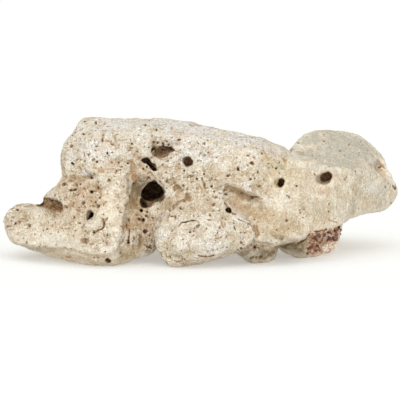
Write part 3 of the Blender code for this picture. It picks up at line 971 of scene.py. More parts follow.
    def dent(self, index: int, width: float, stretch: float, turn: float, soil: float) -> None:
        """Presses a small pore in, anywhere on the stone.

        Args:
            index: The point at its middle.
            width: Its width.
            stretch: How many times as long as wide it is.
            turn: The direction of its length, round the surface's own direction.
            soil: How dark the dirt and the painted shade in it are.
        """
        outward = Vector(self.outward[index])
        along = outward.orthogonal().normalized()
        along.rotate(Matrix.Rotation(turn, 3, outward))
        across = outward.cross(along)
        here = self.near(self.points[index], width * stretch)
        offset = self.points[here] - self.points[index]
        reach = np.hypot(offset @ np.array(along) / stretch, offset @ np.array(across)) / (0.5 * width)
        ragged = self.PORE_RAGGED * RAGGED.at(self.points[here], 0.5 * width)
        fall = 1.0 - eased(self.PORE_EDGE, 1.0, reach + ragged)
        self.points[here] -= (self.PORE_DEPTH * width * fall)[:, None] * np.array(outward, np.float32)
        self.soil[here] = np.maximum(self.soil[here], soil * eased(*self.GROOVE_DIRT, fall))

    def lay(self, patch: Patch) -> tuple[np.ndarray, np.ndarray]:
        """Where a patch lies.

        Args:
            patch: The patch.

        Returns:
            The indices of the points that it may cover, and how much of it lies on each.
        """
        found = SIGHT.glance(self.piece, patch.seen_at)
        if found is None:
            log.info("patch %s misses the stone", patch.name)
            return np.empty(0, np.int64), np.empty(0)
        here = self.near(found[0], max(patch.width, patch.height) * MM + self.PATCH_SPARE)
        here = here[self.facing[here] > self.PAINTED_FACING]
        offset = (self.pixels[here] - np.array(patch.seen_at)) * SIGHT.pixel / MM
        cos, sin = math.cos(math.radians(patch.turn)), math.sin(math.radians(patch.turn))
        across = (offset[:, 0] * cos - offset[:, 1] * sin) / (patch.width / 2)
        rise = (offset[:, 0] * sin + offset[:, 1] * cos) / (patch.height / 2)
        uneven = PATCHY.at(self.points[here], self.PATCH_LUMP_SIZE)
        uneven += self.PATCH_CRUMB * RAGGED.at(self.points[here], self.PATCH_CRUMB_SIZE)
        share = 1.0 - eased(*self.PATCH_FADE, np.hypot(across, rise) + self.PATCH_RAGGED * uneven)
        return here, patch.strength * share

    def note(self, name: str, values: np.ndarray) -> None:
        """Stores one number for each point as an attribute of the mesh."""
        attribute = self.piece.data.attributes.new(name, "FLOAT", "POINT")
        attribute.data.foreach_set("value", values.astype(np.float32))

    def store(self) -> None:
        """Writes the points back to the mesh."""
        self.piece.data.vertices.foreach_set("co", self.points.ravel())
        self.piece.data.update()


class Shader:
    """A material's nodes, and the ways that they are added."""

    def __init__(self, name: str) -> None:
        """Makes the material.

        Args:
            name: The material's name.
        """
        self.material = bpy.data.materials.new(name)
        self.material.use_nodes = True
        self.tree = self.material.node_tree
        self.tree.nodes.clear()

    def node(self, kind: str, settings: dict[str, Any] | None = None,
             sockets: dict[str | int, Any] | None = None) -> bpy.types.Node:
        """Adds a node.

        Args:
            kind: The node's type, without its Shader prefix.
            settings: The node's own settings.
            sockets: The values or links of its inputs, by name or number.

        Returns:
            The node.
        """
        node = self.tree.nodes.new("ShaderNode" + kind)
        for name, value in (settings or {}).items():
            setattr(node, name, value)
        for name, value in (sockets or {}).items():
            self._feed(node.inputs[name], value)
        return node

    def _feed(self, socket: bpy.types.NodeSocket, value: Any) -> None:
        """Links a socket to another, or sets its own value.

        Args:
            socket: The input to feed.
            value: A number, a colour, a socket or a wrapped socket.
        """
        if isinstance(value, Value):
            value = value.socket
        if isinstance(value, bpy.types.NodeSocket):
            self.tree.links.new(value, socket)
        elif socket.type == "RGBA" and len(value) == 3:
            socket.default_value = (*value, 1.0)
        else:
            socket.default_value = value

    def value(self, socket: bpy.types.NodeSocket) -> "Value":
        """Wraps a number socket."""
        return Value(self, socket)

    def object_place(self) -> bpy.types.NodeSocket:
        """The place on the object, in metres."""
        return self.node("TexCoord").outputs["Object"]

    def uneven_place(self, size: float, shift: float) -> bpy.types.NodeSocket:
        """The place on the object, pushed to and fro.

        Args:
            size: The size of the pushes' lumps.
            shift: How far it is pushed.

        Returns:
            The pushed place.
        """
        place = self.object_place()
        noise = self.node("TexNoise", sockets={"Vector": place, "Scale": 1.0 / size, "Detail": 2.0})
        from_middle = {0: noise.outputs["Color"], 1: (0.5, 0.5, 0.5)}
        push = self.node("VectorMath", {"operation": "SUBTRACT"}, from_middle)
        scaled = {0: push.outputs[0], "Scale": 2.0 * shift}
        reach = self.node("VectorMath", {"operation": "SCALE"}, scaled)
        return self.node("VectorMath", {"operation": "ADD"}, {0: place, 1: reach.outputs[0]}).outputs[0]

    def noise(self, size: float, detail: float = 2.0, roughness: float = 0.5) -> "Value":
        """Soft noise from 0 to 1.

        Args:
            size: The size of its lumps.
            detail: How many finer layers it has.
            roughness: How strong the finer layers are.

        Returns:
            The noise's height.
        """
        sockets = {"Vector": self.object_place(), "Scale": 1.0 / size, "Detail": detail,
                   "Roughness": roughness}
        return self.value(self.node("TexNoise", sockets=sockets).outputs["Fac"])

    def attribute(self, name: str) -> bpy.types.Node:
        """The node that reads one of the mesh's attributes."""
        return self.node("Attribute", {"attribute_name": name, "attribute_type": "GEOMETRY"})

    def pores(self, size: float, share: Any, widest: float) -> "Value":
        """Small round pores in some of the cells of space.

        Args:
            size: The size of a cell.
            share: The share of the cells that hold a pore.
            widest: The widest pore's radius, as a share of a cell.

        Returns:
            1 in the middle of a pore and 0 outside.
        """
        place = self.uneven_place(0.6 * size, 0.35 * size)
        sockets = {"Vector": place, "Scale": 1.0 / size, "Randomness": 1.0}
        cells = self.node("TexVoronoi", {"feature": "F1"}, sockets)
        lots = self.node("SeparateColor", sockets={"Color": cells.outputs["Color"]})
        lot = self.value(lots.outputs[0])
        width = self.value(lots.outputs[1])
        radius = (width * 0.75 + 0.25) * widest
        inside = 1.0 - self.value(cells.outputs["Distance"]) / radius
        return inside.clamped() * lot.below(share)

    def mix(self, share: Any, first: Any, second: Any) -> bpy.types.NodeSocket:
        """Mixes two colours.

        Args:
            share: How much of the second shows.
            first: A colour or a link.
            second: A colour or a link.

        Returns:
            The mixed colour.
        """
        # A Mix node's colours are its inputs 6 and 7 and its output 2. The others are for numbers.
        settings = {"data_type": "RGBA", "clamp_factor": True}
        return self.node("Mix", settings, {0: share, 6: first, 7: second}).outputs[2]

    def bump(self, height: "Value", depth: float) -> bpy.types.NodeSocket:
        """A bump of a given depth in metres for a height from 0 to 1."""
        node = self.node("Bump", sockets={"Height": height, "Distance": depth, "Strength": 1.0})
        return node.outputs[0]

    def surface(self, sockets: dict[str, Any]) -> bpy.types.Material:
        """Ends the material in one Principled surface.

        Args:
            sockets: The surface's inputs.

        Returns:
            The finished material.
        """
        shader = self.node("BsdfPrincipled", sockets=sockets)
        self.node("OutputMaterial", sockets={"Surface": shader.outputs[0]})
        return self.material


class Value:
    """A number socket that Python's operators work on. Each adds a Math node."""

    def __init__(self, shader: Shader, socket: bpy.types.NodeSocket) -> None:
        """Wraps a socket.

        Args:
            shader: The material that the socket is in.
            socket: The number socket.
        """
        self.shader = shader
        self.socket = socket

    def _math(self, operation: str, first: Any, second: Any) -> "Value":
        """Adds a Math node.

        Args:
            operation: What it does.
            first: A number or a value.
            second: A number or a value.

        Returns:
            Its result.
        """
        node = self.shader.node("Math", {"operation": operation}, {0: first, 1: second})
        return Value(self.shader, node.outputs[0])

    def __add__(self, other: Any) -> "Value":
        """The sum."""
        return self._math("ADD", self, other)

    def __radd__(self, other: Any) -> "Value":
        """The sum, reflected."""
        return self._math("ADD", other, self)

    def __sub__(self, other: Any) -> "Value":
        """The difference."""
        return self._math("SUBTRACT", self, other)

    def __rsub__(self, other: Any) -> "Value":
        """The difference, reflected."""
        return self._math("SUBTRACT", other, self)

    def __mul__(self, other: Any) -> "Value":
        """The product."""
        return self._math("MULTIPLY", self, other)

    def __rmul__(self, other: Any) -> "Value":
        """The product, reflected."""
        return self._math("MULTIPLY", other, self)

    def __truediv__(self, other: Any) -> "Value":
        """The quotient."""
        return self._math("DIVIDE", self, other)

    def below(self, limit: Any) -> "Value":
        """1 where the value is below a limit, and 0 elsewhere."""
        return self._math("LESS_THAN", self, limit)

    def larger(self, other: Any) -> "Value":
        """The larger of two values."""
        return self._math("MAXIMUM", self, other)

    def clamped(self) -> "Value":
        """The value, kept from 0 to 1."""
        node = self.shader.node("Clamp", sockets={"Value": self})
        return Value(self.shader, node.outputs[0])

    def eased(self, low: float, high: float) -> "Value":
        """A smooth step from 0 to 1.

        Args:
            low: Where it leaves 0.
            high: Where it reaches 1.

        Returns:
            The eased value.
        """
        settings = {"interpolation_type": "SMOOTHSTEP"}
        sockets = {"Value": self, "From Min": low, "From Max": high}
        node = self.shader.node("MapRange", settings, sockets)
        return Value(self.shader, node.outputs[0])


@dataclass(frozen=True)
class LimestoneFinish:
    """Porous cream limestone with chalky ledges, and dirt and painted shade in its hollows and pores.

    Attributes:
        cream: The stone's main colour.
        pale: Its palest grains.
        buff: Its darker grains.
        rust: The specks of rust among its grains.
        tan_soil: The thin dirt and painted shade at a hollow's rim and where the skin sinks.
        brown_soil: The dirt and painted shade inside hollows and pores.
        black_soil: The painted shade in the deepest holes.
        roughness: How matt it is.
        sheen: How strongly it mirrors.
        cloud_size: The size of its broad clouds of tone.
        mottle_size: The size of its mottling.
        grain_size: The size of its grains.
        sand_size: The size of its sand.
        speck_size: The size of the specks of rust.
        pore_cells: The spacing of its finest pores and of the next ones.
        bump_depth: How deep its relief is.
    """

    cream: Colour = (0.625, 0.525, 0.375)
    pale: Colour = (0.80, 0.73, 0.60)
    buff: Colour = (0.40, 0.295, 0.17)
    rust: Colour = (0.40, 0.19, 0.07)
    tan_soil: Colour = (0.45, 0.285, 0.145)
    brown_soil: Colour = (0.18, 0.088, 0.036)
    black_soil: Colour = (0.026, 0.015, 0.008)
    roughness: float = 0.93
    sheen: float = 0.25
    cloud_size: float = 16 * MM
    mottle_size: float = 5 * MM
    grain_size: float = 2.4 * MM
    sand_size: float = 1.2 * MM
    speck_size: float = 1.8 * MM
    pore_cells: tuple[float, float] = (2.6 * MM, 5.5 * MM)
    bump_depth: float = 2.0 * MM

    def material(self) -> bpy.types.Material:
        """Makes the stone's material.

        Returns:
            The material.
        """
        make = Shader("porous_limestone")
        cloud = make.noise(self.cloud_size, 3.0, 0.6)
        mottle = make.noise(self.mottle_size, 4.0, 0.65).eased(0.36, 0.64)
        grain = make.noise(self.grain_size, 3.0, 0.7).eased(0.36, 0.64)
        sand = make.noise(self.sand_size, 2.0, 0.7).eased(0.34, 0.66)
        porous = make.value(make.attribute("porous").outputs["Fac"])
        colour = make.mix(cloud.eased(0.40, 0.64), self.cream, self.pale)
        colour = make.mix(mottle.eased(0.5, 1.0) * (0.2 + porous * 0.45), colour, self.buff)
        # The stains, and the painted shade laid in dark olive and tan on shaded faces and the underside.
        stain = make.attribute("stain")
        ragged = (grain + mottle * 0.7) * (0.25 + porous * 0.75)
        cover = make.value(stain.outputs["Alpha"]) * (ragged + 0.8 - porous * 0.55)
        cover = cover.eased(0.12, 0.95)
        colour = make.mix(cover, colour, stain.outputs["Color"])
        dusty = sand.eased(0.5, 0.9) * (0.4 + porous * 0.3) * (1.0 - cover * 0.6)
        colour = make.mix(dusty, colour, self.pale)
        colour = make.mix((1.0 - sand).eased(0.5, 0.9) * (0.4 + porous * 0.35), colour, self.buff)
        specks = make.noise(self.speck_size, 3.0, 0.6)
        colour = make.mix(specks.eased(0.60, 0.68) * (0.1 + porous * 0.7), colour, self.rust)
        # Paler where the skin stands out, as wear and painted highlight; tan where it sinks, as dirt and
        # painted shade.
        rise = make.value(make.attribute("rise").outputs["Fac"])
        colour = make.mix(rise.eased(0.54, 0.80) * 0.4, colour, self.pale)
        colour = make.mix((1.0 - rise).eased(0.56, 0.85) * 0.5, colour, self.tan_soil)
        # The pores are painted dark brown, as dirt and painted shade.
        fine = make.pores(self.pore_cells[0], porous * 0.5 + 0.06, 0.36).eased(0.0, 0.6)
        wide = make.pores(self.pore_cells[1], porous * 0.4 + 0.04, 0.26).eased(0.0, 0.5)
        pored = fine.larger(wide)
        colour = make.mix(pored * 0.8, colour, self.brown_soil)
        # Dirt and painted shade in hollows, cracks and bores: tan at the rims, brown inside, near black in
        # the deepest holes.
        soil = make.value(make.attribute("soil").outputs["Fac"]) * (0.7 + grain * 0.35 + mottle * 0.25)
        colour = make.mix(soil.eased(0.05, 0.42) * 0.8, colour, self.tan_soil)
        colour = make.mix(soil.eased(0.38, 0.80) * 0.9, colour, self.brown_soil)
        colour = make.mix(soil.eased(0.74, 1.0), colour, self.black_soil)
        height = sand * 0.22 + grain * 0.3 + mottle * 0.5 - pored * 0.7
        return make.surface({
            "Base Color": colour,
            "Roughness": self.roughness,
            "Specular IOR Level": self.sheen,
            "Normal": make.bump(height * (0.5 + porous * 0.5), self.bump_depth),
        })


@dataclass(frozen=True)
class CalciteFinish:
    """Brown calcite crystals, some rusty and some pale.

    Attributes:
        dark: The darkest crystals.
        rust: The rusty ones.
        fawn: The light brown ones.
        pale: The palest ones.
        roughness: How dull their faces are.
        coat: How much clear gloss lies over them.
        cloud_size: The size of the clouds in them.
        bump_depth: How deep the relief of their faces is.
    """

    dark: Colour = (0.085, 0.03, 0.015)
    rust: Colour = (0.27, 0.115, 0.055)
    fawn: Colour = (0.58, 0.38, 0.25)
    pale: Colour = (0.82, 0.72, 0.62)
    roughness: float = 0.3
    coat: float = 0.3
    cloud_size: float = 2.5 * MM
    bump_depth: float = 0.2 * MM

    def material(self) -> bpy.types.Material:
        """Makes the crystals' material.

        Returns:
            The material.
        """
        make = Shader("brown_calcite")
        lot = make.value(make.attribute("lot").outputs["Fac"])
        cloud = make.noise(self.cloud_size, 3.0, 0.6)
        tone = lot + (cloud - 0.5) * 0.25
        colour = make.mix(tone.eased(0.08, 0.36), self.dark, self.rust)
        colour = make.mix(tone.eased(0.42, 0.60), colour, self.fawn)
        colour = make.mix(tone.eased(0.62, 0.78), colour, self.pale)
        return make.surface({
            "Base Color": colour,
            "Roughness": cloud * 0.3 + (self.roughness - 0.1),
            "Coat Weight": self.coat,
            "Normal": make.bump(cloud, self.bump_depth),
        })


@dataclass(frozen=True)
class FloorFinish:
    """A white table top that glows evenly, as if lit from below, faintly uneven in tone.

    Attributes:
        white: Its colour.
        shade: Its darker clouds.
        glow: How bright it is by itself.
        warm_glow: The glow's colour.
        warm_shade: The glow's colour in its darker clouds.
        cloud_size: The size of its clouds.
    """

    white: Colour = (0.885, 0.90, 0.885)
    shade: Colour = (0.87, 0.885, 0.87)
    glow: float = 0.31
    warm_glow: Colour = (1.0, 0.995, 0.985)
    warm_shade: Colour = (0.99, 0.985, 0.975)
    cloud_size: float = 400 * MM

    def material(self) -> bpy.types.Material:
        """Makes the floor's material.

        Returns:
            The material.
        """
        make = Shader("white_table")
        cloud = make.noise(self.cloud_size)
        return make.surface({
            "Base Color": make.mix(cloud, self.white, self.shade),
            "Emission Color": make.mix(cloud, self.warm_glow, self.warm_shade),
            "Emission Strength": self.glow,
            "Roughness": 0.9,
            "Specular IOR Level": 0.0,
        })


@dataclass(frozen=True)
class MapField:
    """A field of the stone's own map, which shows it straight from one side.

    Attributes:
        axis: The axis that the view looks along: 0, 1 or 2.
        behind: Whether it shows the side that faces up the axis.
        shown: The two axes that it shows.
        corner: Where the field starts on the map, in metres.
    """

    axis: int
    behind: bool
    shown: tuple[int, int]
    corner: tuple[float, float]


MAP_SIZE = 0.565
MAP_FIELDS = (
    MapField(1, False, (0, 2), (0.005, 0.005)),
    MapField(1, True, (0, 2), (0.005, 0.118)),
    MapField(2, True, (0, 1), (0.005, 0.231)),
    MapField(2, False, (0, 1), (0.005, 0.396)),
    MapField(0, False, (1, 2), (0.325, 0.005)),
    MapField(0, True, (1, 2), (0.325, 0.118)),
)


@dataclass
class Limestone:
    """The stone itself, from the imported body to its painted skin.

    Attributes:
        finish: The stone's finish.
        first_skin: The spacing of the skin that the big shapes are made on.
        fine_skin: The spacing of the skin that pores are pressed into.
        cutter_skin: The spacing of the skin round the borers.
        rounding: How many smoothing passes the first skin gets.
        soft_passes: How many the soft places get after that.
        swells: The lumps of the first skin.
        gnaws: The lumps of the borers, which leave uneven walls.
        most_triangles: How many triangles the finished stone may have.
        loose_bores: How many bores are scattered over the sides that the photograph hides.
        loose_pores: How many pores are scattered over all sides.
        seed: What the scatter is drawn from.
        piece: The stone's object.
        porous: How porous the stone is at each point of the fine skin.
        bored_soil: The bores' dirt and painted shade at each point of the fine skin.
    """

    # A soft place's smoothing rises in steps from its edge to this many pixels inside.
    SOFT_EDGE, SOFT_STEPS, SOFT_FACING = 4.0, (0.3, 0.65, 1.0), -0.2

    # Where a borer's rings sit along it, and how wide they are at the most taper.
    BORER_RINGS = ((0.0, 1.0), (0.35, 0.95), (0.7, 0.8), (0.9, 0.55), (1.0, 0.2))

    # Where the loose bores may sit, and their radius, shape and lean.
    LOOSE_FACING, LOOSE_HEIGHT, LOOSE_UPWARD = 0.05, 14 * MM, -0.4
    LOOSE_RADIUS, LOOSE_MORE = 2.2, 3.6
    LOOSE_WIDTHS, LOOSE_LENGTH, LOOSE_LEAN = (0.7, 1.2), 1.9, 0.25

    # The dirt and painted shade in the bores: the loose ones', how far past a mouth it goes, and at which
    # depths it starts and is full.
    LOOSE_DIRT, MOUTH_SPARE, BORE_DIRT = 0.8, -0.8, (0.4 * MM, 2.6 * MM)

    # How porous the left end is, how much less the right end, and how that varies in between.
    POROUS_LEFT, POROUS_LESS, POROUS_TURN = 0.55, 0.42, (30 * MM, 70 * MM)
    POROUS_VARIES, POROUS_CLOUD, POROUS_LEAST = 0.25, 18 * MM, 0.2

    # The crumbly skin: the sizes of its noise, its heights and depths in millimetres, and the dirt
    # and painted shade in its pits.
    CALM, ROUGH = 0.42, 0.58
    LUMP_SIZE, CRUMB_SIZE, GRIT_SIZE = 9 * MM, 4 * MM, 2 * MM
    LUMP_RISE, CRUMB_RISE, GRIT_RISE = 1.2, 1.0, 0.38
    PIT_SIZE, PIT_EDGE, PIT_DEPTH = 4.6 * MM, (0.32, 0.62), 1.1
    SPECK_SIZE, SPECK_EDGE, SPECK_DEPTH = 2.4 * MM, (0.36, 0.66), 0.7
    CRUMBLY_DIRT = 0.32

    # The pores: how steep the placed ones are, and the scattered ones' width, stretch, and dirt and
    # painted shade.
    PORE_WALL, PORE_WIDTH, PORE_WIDER = 0.8, 0.9, 2.2
    PORE_STRETCH, PORE_DIRT, PORE_DIRTIER = 0.8, 0.4, 0.5

    # How much the thinning may take from the side that the photograph shows.
    SEEN_THINNING = 0.88

    # How the rise over the smoothed stone is noted, and the painted shade, in tan, on the underside.
    RISE_PASSES, RISE_SPAN = 40, 2.4 * MM
    UNDER_EDGE, UNDER_TAN = (0.25, 0.85), 0.15
    MAP_PASSES = 12

    finish: LimestoneFinish = LimestoneFinish()
    first_skin: float = 1.0 * MM
    fine_skin: float = 0.65 * MM
    cutter_skin: float = 0.5 * MM
    rounding: int = 7
    soft_passes: int = 120
    swells: tuple[Layer, ...] = (Layer("swell", 26 * MM, 1.6 * MM), Layer("lump", 10 * MM, 1.0 * MM))
    gnaws: tuple[Layer, ...] = (Layer("bored", 6 * MM, 1.3 * MM), Layer("gnawed", 2.4 * MM, 1.1 * MM))
    most_triangles: int = 196_000
    loose_bores: int = 34
    loose_pores: int = 5000
    seed: int = 5
    piece: bpy.types.Object = field(init=False)
    porous: np.ndarray = field(init=False)
    bored_soil: np.ndarray = field(init=False)

    def build(self) -> bpy.types.Object:
        """Builds and dresses the stone.

        Returns:
            The finished piece.
        """
        self.copy_body()
        roughen(self.piece, self.swells)
        self.soften()
        self.shape_ledges()
        self.bore()
        self.press_hollows()
        self.thin()
        self.paint()
        self.lay_map()
        self.piece.data.materials.clear()
        self.piece.data.materials.append(self.finish.material())
        self.piece.data.shade_smooth()
        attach(self.piece, "root")
        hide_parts("limestone")
        return self.piece

    def copy_body(self) -> None:
        """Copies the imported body, merges its loose triangles and gives it a smooth fine skin."""
        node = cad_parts["limestone"]
        self.piece = bpy.data.objects.new("drilled_stone", node.data.copy())
        bpy.context.scene.collection.objects.link(self.piece)
        alone(self.piece)
        bpy.ops.object.mode_set(mode="EDIT")
        bpy.ops.mesh.select_all(action="SELECT")
        bpy.ops.mesh.remove_doubles(threshold=0.01 * MM)
        bpy.ops.object.mode_set(mode="OBJECT")
        shaped_by(self.piece, "SUBSURF", levels=1, render_levels=1)
        shaped_by(self.piece, "REMESH", mode="VOXEL", voxel_size=self.first_skin)
        shaped_by(self.piece, "SMOOTH", factor=0.5, iterations=self.rounding)

    def soften(self) -> None:
        """Smooths the places where two forms run into each other without an edge."""
        relief = Relief(self.piece)
        group = self.piece.vertex_groups.new(name="soft")
        for outline in SOFT:
            gap = depth_inside(outline, relief.pixels)
            here = np.nonzero((gap > 0.0) & (relief.facing > self.SOFT_FACING))[0]
            for share in self.SOFT_STEPS:
                inner = here[gap[here] > self.SOFT_EDGE * share]
                group.add(inner.tolist(), share, "REPLACE")
        shaped_by(self.piece, "SMOOTH", factor=0.5, iterations=self.soft_passes,
                  vertex_group=group.name)
        self.piece.vertex_groups.clear()

    def shape_ledges(self) -> None:
        """Draws the wide ledges and folds, which the finer work then sits on."""
        relief = Relief(self.piece)
        for stroke in STROKES:
            if stroke.is_wide:
                relief.draw(stroke)
        relief.store()

    def borer(self, bore: Bore) -> bpy.types.Object:
        """Models the plug that cuts a bore: its mouth's outline, drawn in and tapered.

        Args:
            bore: The hole to cut.

        Returns:
            The plug, in its place.
        """
        corners = np.array(bore.mouth)
        middle = tuple(corners.mean(0))
        mouth, _ = SIGHT.meets(self.piece, middle)
        away = (mouth - SIGHT.eye).dot(SIGHT.forward)
        bpy.ops.object.select_all(action="DESELECT")
        bpy.ops.mesh.primitive_circle_add(vertices=len(corners), radius=1.0, fill_type="NGON")
        plug = bpy.context.active_object
        centre = SIGHT.eye + SIGHT.through(middle) * away
        for vertex, corner in zip(plug.data.vertices, corners):
            vertex.co = SIGHT.eye + SIGHT.through(tuple(corner)) * away
        bpy.ops.object.mode_set(mode="EDIT")
        bpy.ops.mesh.select_all(action="SELECT")
        run = SIGHT.through(middle).normalized()
        lean = Vector((1.0, 0.0, 0.0)) * bore.slant[0] + SIGHT.upward * bore.slant[1]
        bpy.ops.transform.translate(value=-run * bore.lead * MM)
        past = -bore.lead * MM
        scale = 1.0
        for share, narrowing in self.BORER_RINGS:
            narrowing = 1.0 - bore.taper * (1.0 - narrowing)
            reach = share * bore.depth * MM
            step = run * (reach - past) + lean * max(0.0, reach - max(past, 0.0))
            bpy.ops.mesh.extrude_region_move(TRANSFORM_OT_translate={"value": step})
            ratio = narrowing / scale
            centre_now = centre + run * reach + lean * reach
            bpy.ops.transform.resize(value=(ratio, ratio, ratio), center_override=centre_now)
            past, scale = reach, narrowing
        bpy.ops.mesh.select_all(action="SELECT")
        bpy.ops.mesh.normals_make_consistent(inside=False)
        bpy.ops.object.mode_set(mode="OBJECT")
        return plug

    def loose_borers(self) -> list[bpy.types.Object]:
        """Models uneven balls that cut bores where the photograph doesn't look.

        Returns:
            The balls, in their places.
        """
        dice = np.random.default_rng(self.seed)
        relief = Relief(self.piece)
        hidden = relief.facing < self.LOOSE_FACING
        hidden &= relief.points[:, 2] > self.LOOSE_HEIGHT
        hidden &= relief.outward[:, 2] > self.LOOSE_UPWARD
        balls = []
        for index in dice.choice(np.nonzero(hidden)[0], self.loose_bores, replace=False):
            size = (self.LOOSE_RADIUS + self.LOOSE_MORE * dice.random() ** 2) * MM
            bpy.ops.object.select_all(action="DESELECT")
            bpy.ops.mesh.primitive_ico_sphere_add(subdivisions=3, radius=1.0)
            ball = bpy.context.active_object
            across = size * dice.uniform(*self.LOOSE_WIDTHS)
            along = size * dice.uniform(*self.LOOSE_WIDTHS)
            shape = Matrix.Diagonal((across, along, size * self.LOOSE_LENGTH))
            way = Vector(relief.outward[index]) + Vector(dice.normal(0.0, self.LOOSE_LEAN, 3))
            turn = way.to_track_quat("Z", "X").to_matrix()
            ball.matrix_world = Matrix.Translation(relief.points[index]) @ (turn @ shape).to_4x4()
            bpy.ops.object.transform_apply(location=True, rotation=True, scale=True)
            balls.append(ball)
        return balls

    def bore(self) -> None:
        """Cuts the deep holes, gives the stone its fine skin, and notes their dirt and painted shade."""
        whole = BVHTree.FromObject(self.piece, bpy.context.evaluated_depsgraph_get())
        cutter = joined([self.borer(bore) for bore in BORES] + self.loose_borers(), "borers")
        shaped_by(cutter, "REMESH", mode="VOXEL", voxel_size=self.cutter_skin)
        shaped_by(cutter, "SMOOTH", factor=0.5, iterations=2)
        roughen(cutter, self.gnaws)
        shaped_by(self.piece, "BOOLEAN", operation="DIFFERENCE", object=cutter, solver="MANIFOLD")
        bpy.data.objects.remove(cutter)
        shaped_by(self.piece, "REMESH", mode="VOXEL", voxel_size=self.fine_skin)
        shaped_by(self.piece, "SMOOTH", factor=0.5, iterations=1)
        relief = Relief(self.piece)
        sunk = np.array([whole.find_nearest(point)[3] for point in relief.points.tolist()])
        dirt = np.full(len(relief.points), self.LOOSE_DIRT)
        for bore in BORES:
            here, _ = relief.behind(bore.mouth, bore.depth * MM)
            inside = depth_inside(bore.mouth, relief.pixels[here]) > self.MOUTH_SPARE
            dirt[here[inside]] = bore.soil
        # Dirt and painted shade: the deeper a point lies below the unbored skin, the darker it gets.
        self.bored_soil = dirt * eased(*self.BORE_DIRT, sunk)

    def find_porous(self, relief: Relief) -> np.ndarray:
        """How porous the stone is: the smooth right end least.

        Args:
            relief: The stone's points.

        Returns:
            A number from 0 to 1 for each point.
        """
        porous = self.POROUS_LEFT - self.POROUS_LESS * eased(*self.POROUS_TURN, relief.points[:, 0])
        cloud = PATCHY.at(relief.points, self.POROUS_CLOUD)
        porous += self.POROUS_VARIES * cloud * (porous > self.POROUS_LEAST)
        for patch in POROUS:
            here, share = relief.lay(patch)
            porous[here] += (patch.tint - porous[here]) * share
        return np.clip(porous, 0.0, 1.0)

    def crumble(self, relief: Relief, porous: np.ndarray) -> None:
        """Roughens the skin with crumbs and shallow pits, the most where the stone is porous.

        Args:
            relief: The stone's points.
            porous: How porous the stone is at each point.
        """
        rough = self.CALM + self.ROUGH * porous
        lumps = CRUMBLY.at(relief.points, self.LUMP_SIZE) * self.LUMP_RISE * MM
        crumbs = (0.5 - np.abs(RAGGED.at(relief.points, self.CRUMB_SIZE))) * self.CRUMB_RISE * MM
        grit = PATCHY.at(relief.points, self.GRIT_SIZE) * self.GRIT_RISE * MM
        pits = eased(*self.PIT_EDGE, PATCHY.at(relief.points, self.PIT_SIZE)) * porous
        specks = eased(*self.SPECK_EDGE, CRUMBLY.at(relief.points, self.SPECK_SIZE)) * porous
        sunk = pits * self.PIT_DEPTH * MM + specks * self.SPECK_DEPTH * MM
        relief.points += ((lumps + crumbs + grit) * rough - sunk)[:, None] * relief.outward
        # Dirt and painted shade in the pits.
        relief.soil = np.maximum(relief.soil, self.CRUMBLY_DIRT * np.maximum(pits, specks))

    def press_hollows(self) -> None:
        """Presses hollows, cracks and pores into the fine skin, and notes their dirt and painted shade."""
        relief = Relief(self.piece)
        relief.soil = self.bored_soil.astype(np.float32)
        self.porous = self.find_porous(relief)
        self.crumble(relief, self.porous)
        for hollow in HOLLOWS:
            relief.press(hollow)
        relief.store()
        bpy.context.view_layer.update()
        for stroke in STROKES:
            if not stroke.is_wide:
                relief.draw(stroke)
        for width, soil, pixels in PORES.values():
            for pixel in pixels:
                mouth = SIGHT.oval(pixel, width, width)
                relief.press(Hollow("pore", mouth, width, soil, self.PORE_WALL))
        self.scatter(relief)
        np.maximum(relief.points[:, 2], 0.0, out=relief.points[:, 2])
        relief.store()
        relief.note("soil", relief.soil)
        relief.note("porous", self.porous)

    def scatter(self, relief: Relief) -> None:
        """Scatters pores over all sides, the most of them small and where the stone is porous.

        Args:
            relief: The stone's points.
        """
        dice = np.random.default_rng(self.seed)
        for index in dice.integers(0, len(relief.points), self.loose_pores):
            if dice.random() > self.porous[index]:
                continue
            width = (self.PORE_WIDTH + self.PORE_WIDER * dice.random() ** 5) * MM
            stretch = 1.0 + self.PORE_STRETCH * dice.random()
            turn = dice.random() * math.tau
            relief.dent(index, width, stretch, turn, self.PORE_DIRT + self.PORE_DIRTIER * dice.random())

    def thin(self) -> None:
        """Thins the skin, keeping the most detail on the side that the photograph shows."""
        shaped_by(self.piece, "TRIANGULATE")
        triangles = len(self.piece.data.polygons)
        log.info("stone: %d triangles before thinning", triangles)
        relief = Relief(self.piece)
        hidden = self.piece.vertex_groups.new(name="hidden")
        hidden.add(np.nonzero(relief.facing < 0.0)[0].tolist(), 1.0, "REPLACE")
        hidden.add(np.nonzero(relief.facing >= 0.0)[0].tolist(), self.SEEN_THINNING, "REPLACE")
        ratio = min(1.0, self.most_triangles / triangles)
        shaped_by(self.piece, "DECIMATE", ratio=ratio, vertex_group=hidden.name,
                  vertex_group_factor=1.0)
        self.piece.vertex_groups.clear()

    def paint(self) -> None:
        """Notes stains, painted shade and how each point stands out from the smoothed stone."""
        relief = Relief(self.piece)
        smooth = self.smoothed(relief.points, self.RISE_PASSES)
        rise = ((relief.points - smooth) * relief.outward).sum(1)
        relief.note("rise", np.clip(0.5 + rise / self.RISE_SPAN, 0, 1))
        stain = np.zeros((len(relief.points), 4), np.float32)
        for patch in STAINS:
            here, share = relief.lay(patch)
            self.blend(stain, here, patch.tint, share)
        # Painted shade: the more a point faces down, the more tan it gets.
        below = eased(*self.UNDER_EDGE, -relief.outward[:, 2])
        self.blend(stain, np.arange(len(below)), Tint.TAN, below * self.UNDER_TAN)
        attribute = self.piece.data.attributes.new("stain", "FLOAT_COLOR", "POINT")
        attribute.data.foreach_set("color", stain.ravel())

